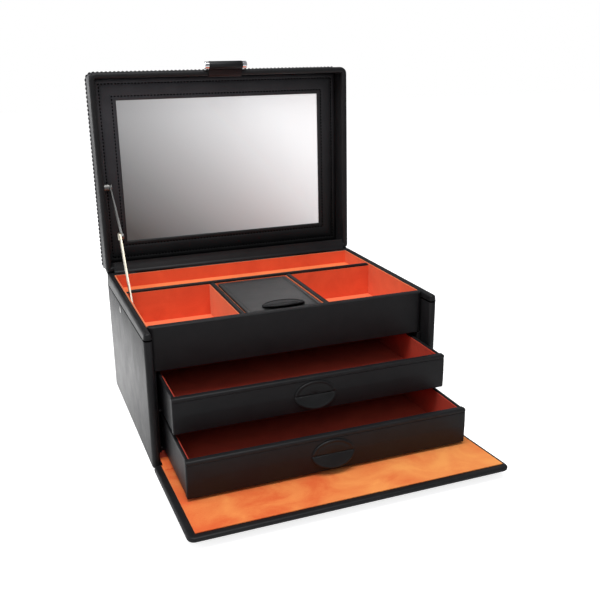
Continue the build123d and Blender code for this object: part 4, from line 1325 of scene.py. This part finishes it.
bpy.ops.mesh.primitive_plane_add(size=FLOOR_SIZE, location=(0, 0, -FLOOR_BELOW))
floor = bpy.context.object
floor.name = "floor"
floor.data.materials.append(floor_finish())
floor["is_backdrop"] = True
print("floor", FLOOR_SIZE, "m wide")

# %% [markdown]
# The surround is a dim, slightly cool sky for the light, and pure white for the camera.
# Four large lamps do the rest: a key above, fills from the left and the front, and a low
# one behind on the left that runs along the lid's edge. Large lamps give soft shadows.

# %% Surround and lamps
SKY = (0.93, 0.95, 1.0, 1)
SKY_STRENGTH = 0.26
BACKDROP = (1, 1, 1, 1)
LAMPS = (
    # name, place, aim and size in metres, power in watts
    ("key_above", (-0.25, -0.30, 1.5), (0, 0.02, 0.1), (1.2, 0.8), 19.0),
    ("fill_left", (-1.3, 0.2, 0.7), (0, 0.1, 0.12), (0.9, 1.2), 3.5),
    ("rim_back_left", (-0.75, 1.6, 0.32), (-0.1, 0.1, 0.12), (1.1, 0.5), 2.5),
    ("fill_front", (-0.3, -1.6, 1.3), (0, 0.2, 0.2), (1.2, 0.8), 4.0),
)


def surround():
    """A world that lights the case with a dim sky and shows the camera a white backdrop."""
    world = bpy.data.worlds.new("studio")
    bpy.context.scene.world = world
    world.use_nodes = True
    tree = world.node_tree
    sky = tree.nodes["Background"]
    sky.inputs["Color"].default_value = SKY
    sky.inputs["Strength"].default_value = SKY_STRENGTH
    white = node(tree, "ShaderNodeBackground")
    white.inputs["Color"].default_value = BACKDROP
    rays = node(tree, "ShaderNodeLightPath")
    mixed = node(tree, "ShaderNodeMixShader")
    tree.links.new(rays.outputs["Is Camera Ray"], mixed.inputs["Fac"])
    tree.links.new(sky.outputs["Background"], mixed.inputs[1])
    tree.links.new(white.outputs["Background"], mixed.inputs[2])
    tree.links.new(mixed.outputs["Shader"], tree.nodes["World Output"].inputs["Surface"])


def lamp(name, at, aim, size, power):
    """A rectangular lamp at a place, turned to its aim."""
    data = bpy.data.lights.new(name, "AREA")
    data.shape = "RECTANGLE"
    data.size, data.size_y = size
    data.energy = power
    made = bpy.data.objects.new(name, data)
    turned = (Vector(aim) - Vector(at)).to_track_quat("-Z", "Y")
    made.matrix_world = Matrix.Translation(at) @ turned.to_matrix().to_4x4()
    bpy.context.scene.collection.objects.link(made)
    print("lamp", name, power, "W")


surround()
for row in LAMPS:
    lamp(*row)

bpy.context.scene.view_settings.view_transform = "Standard"

# %% [markdown]
# ## Sizes
# The visual pieces should stay within the CAD's box, so both boxes are printed.

# %% Sizes
made_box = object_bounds()
for low, high in (cad_box, made_box):
    print("box in mm", [round(v / MM, 1) for v in (*low, *high)])
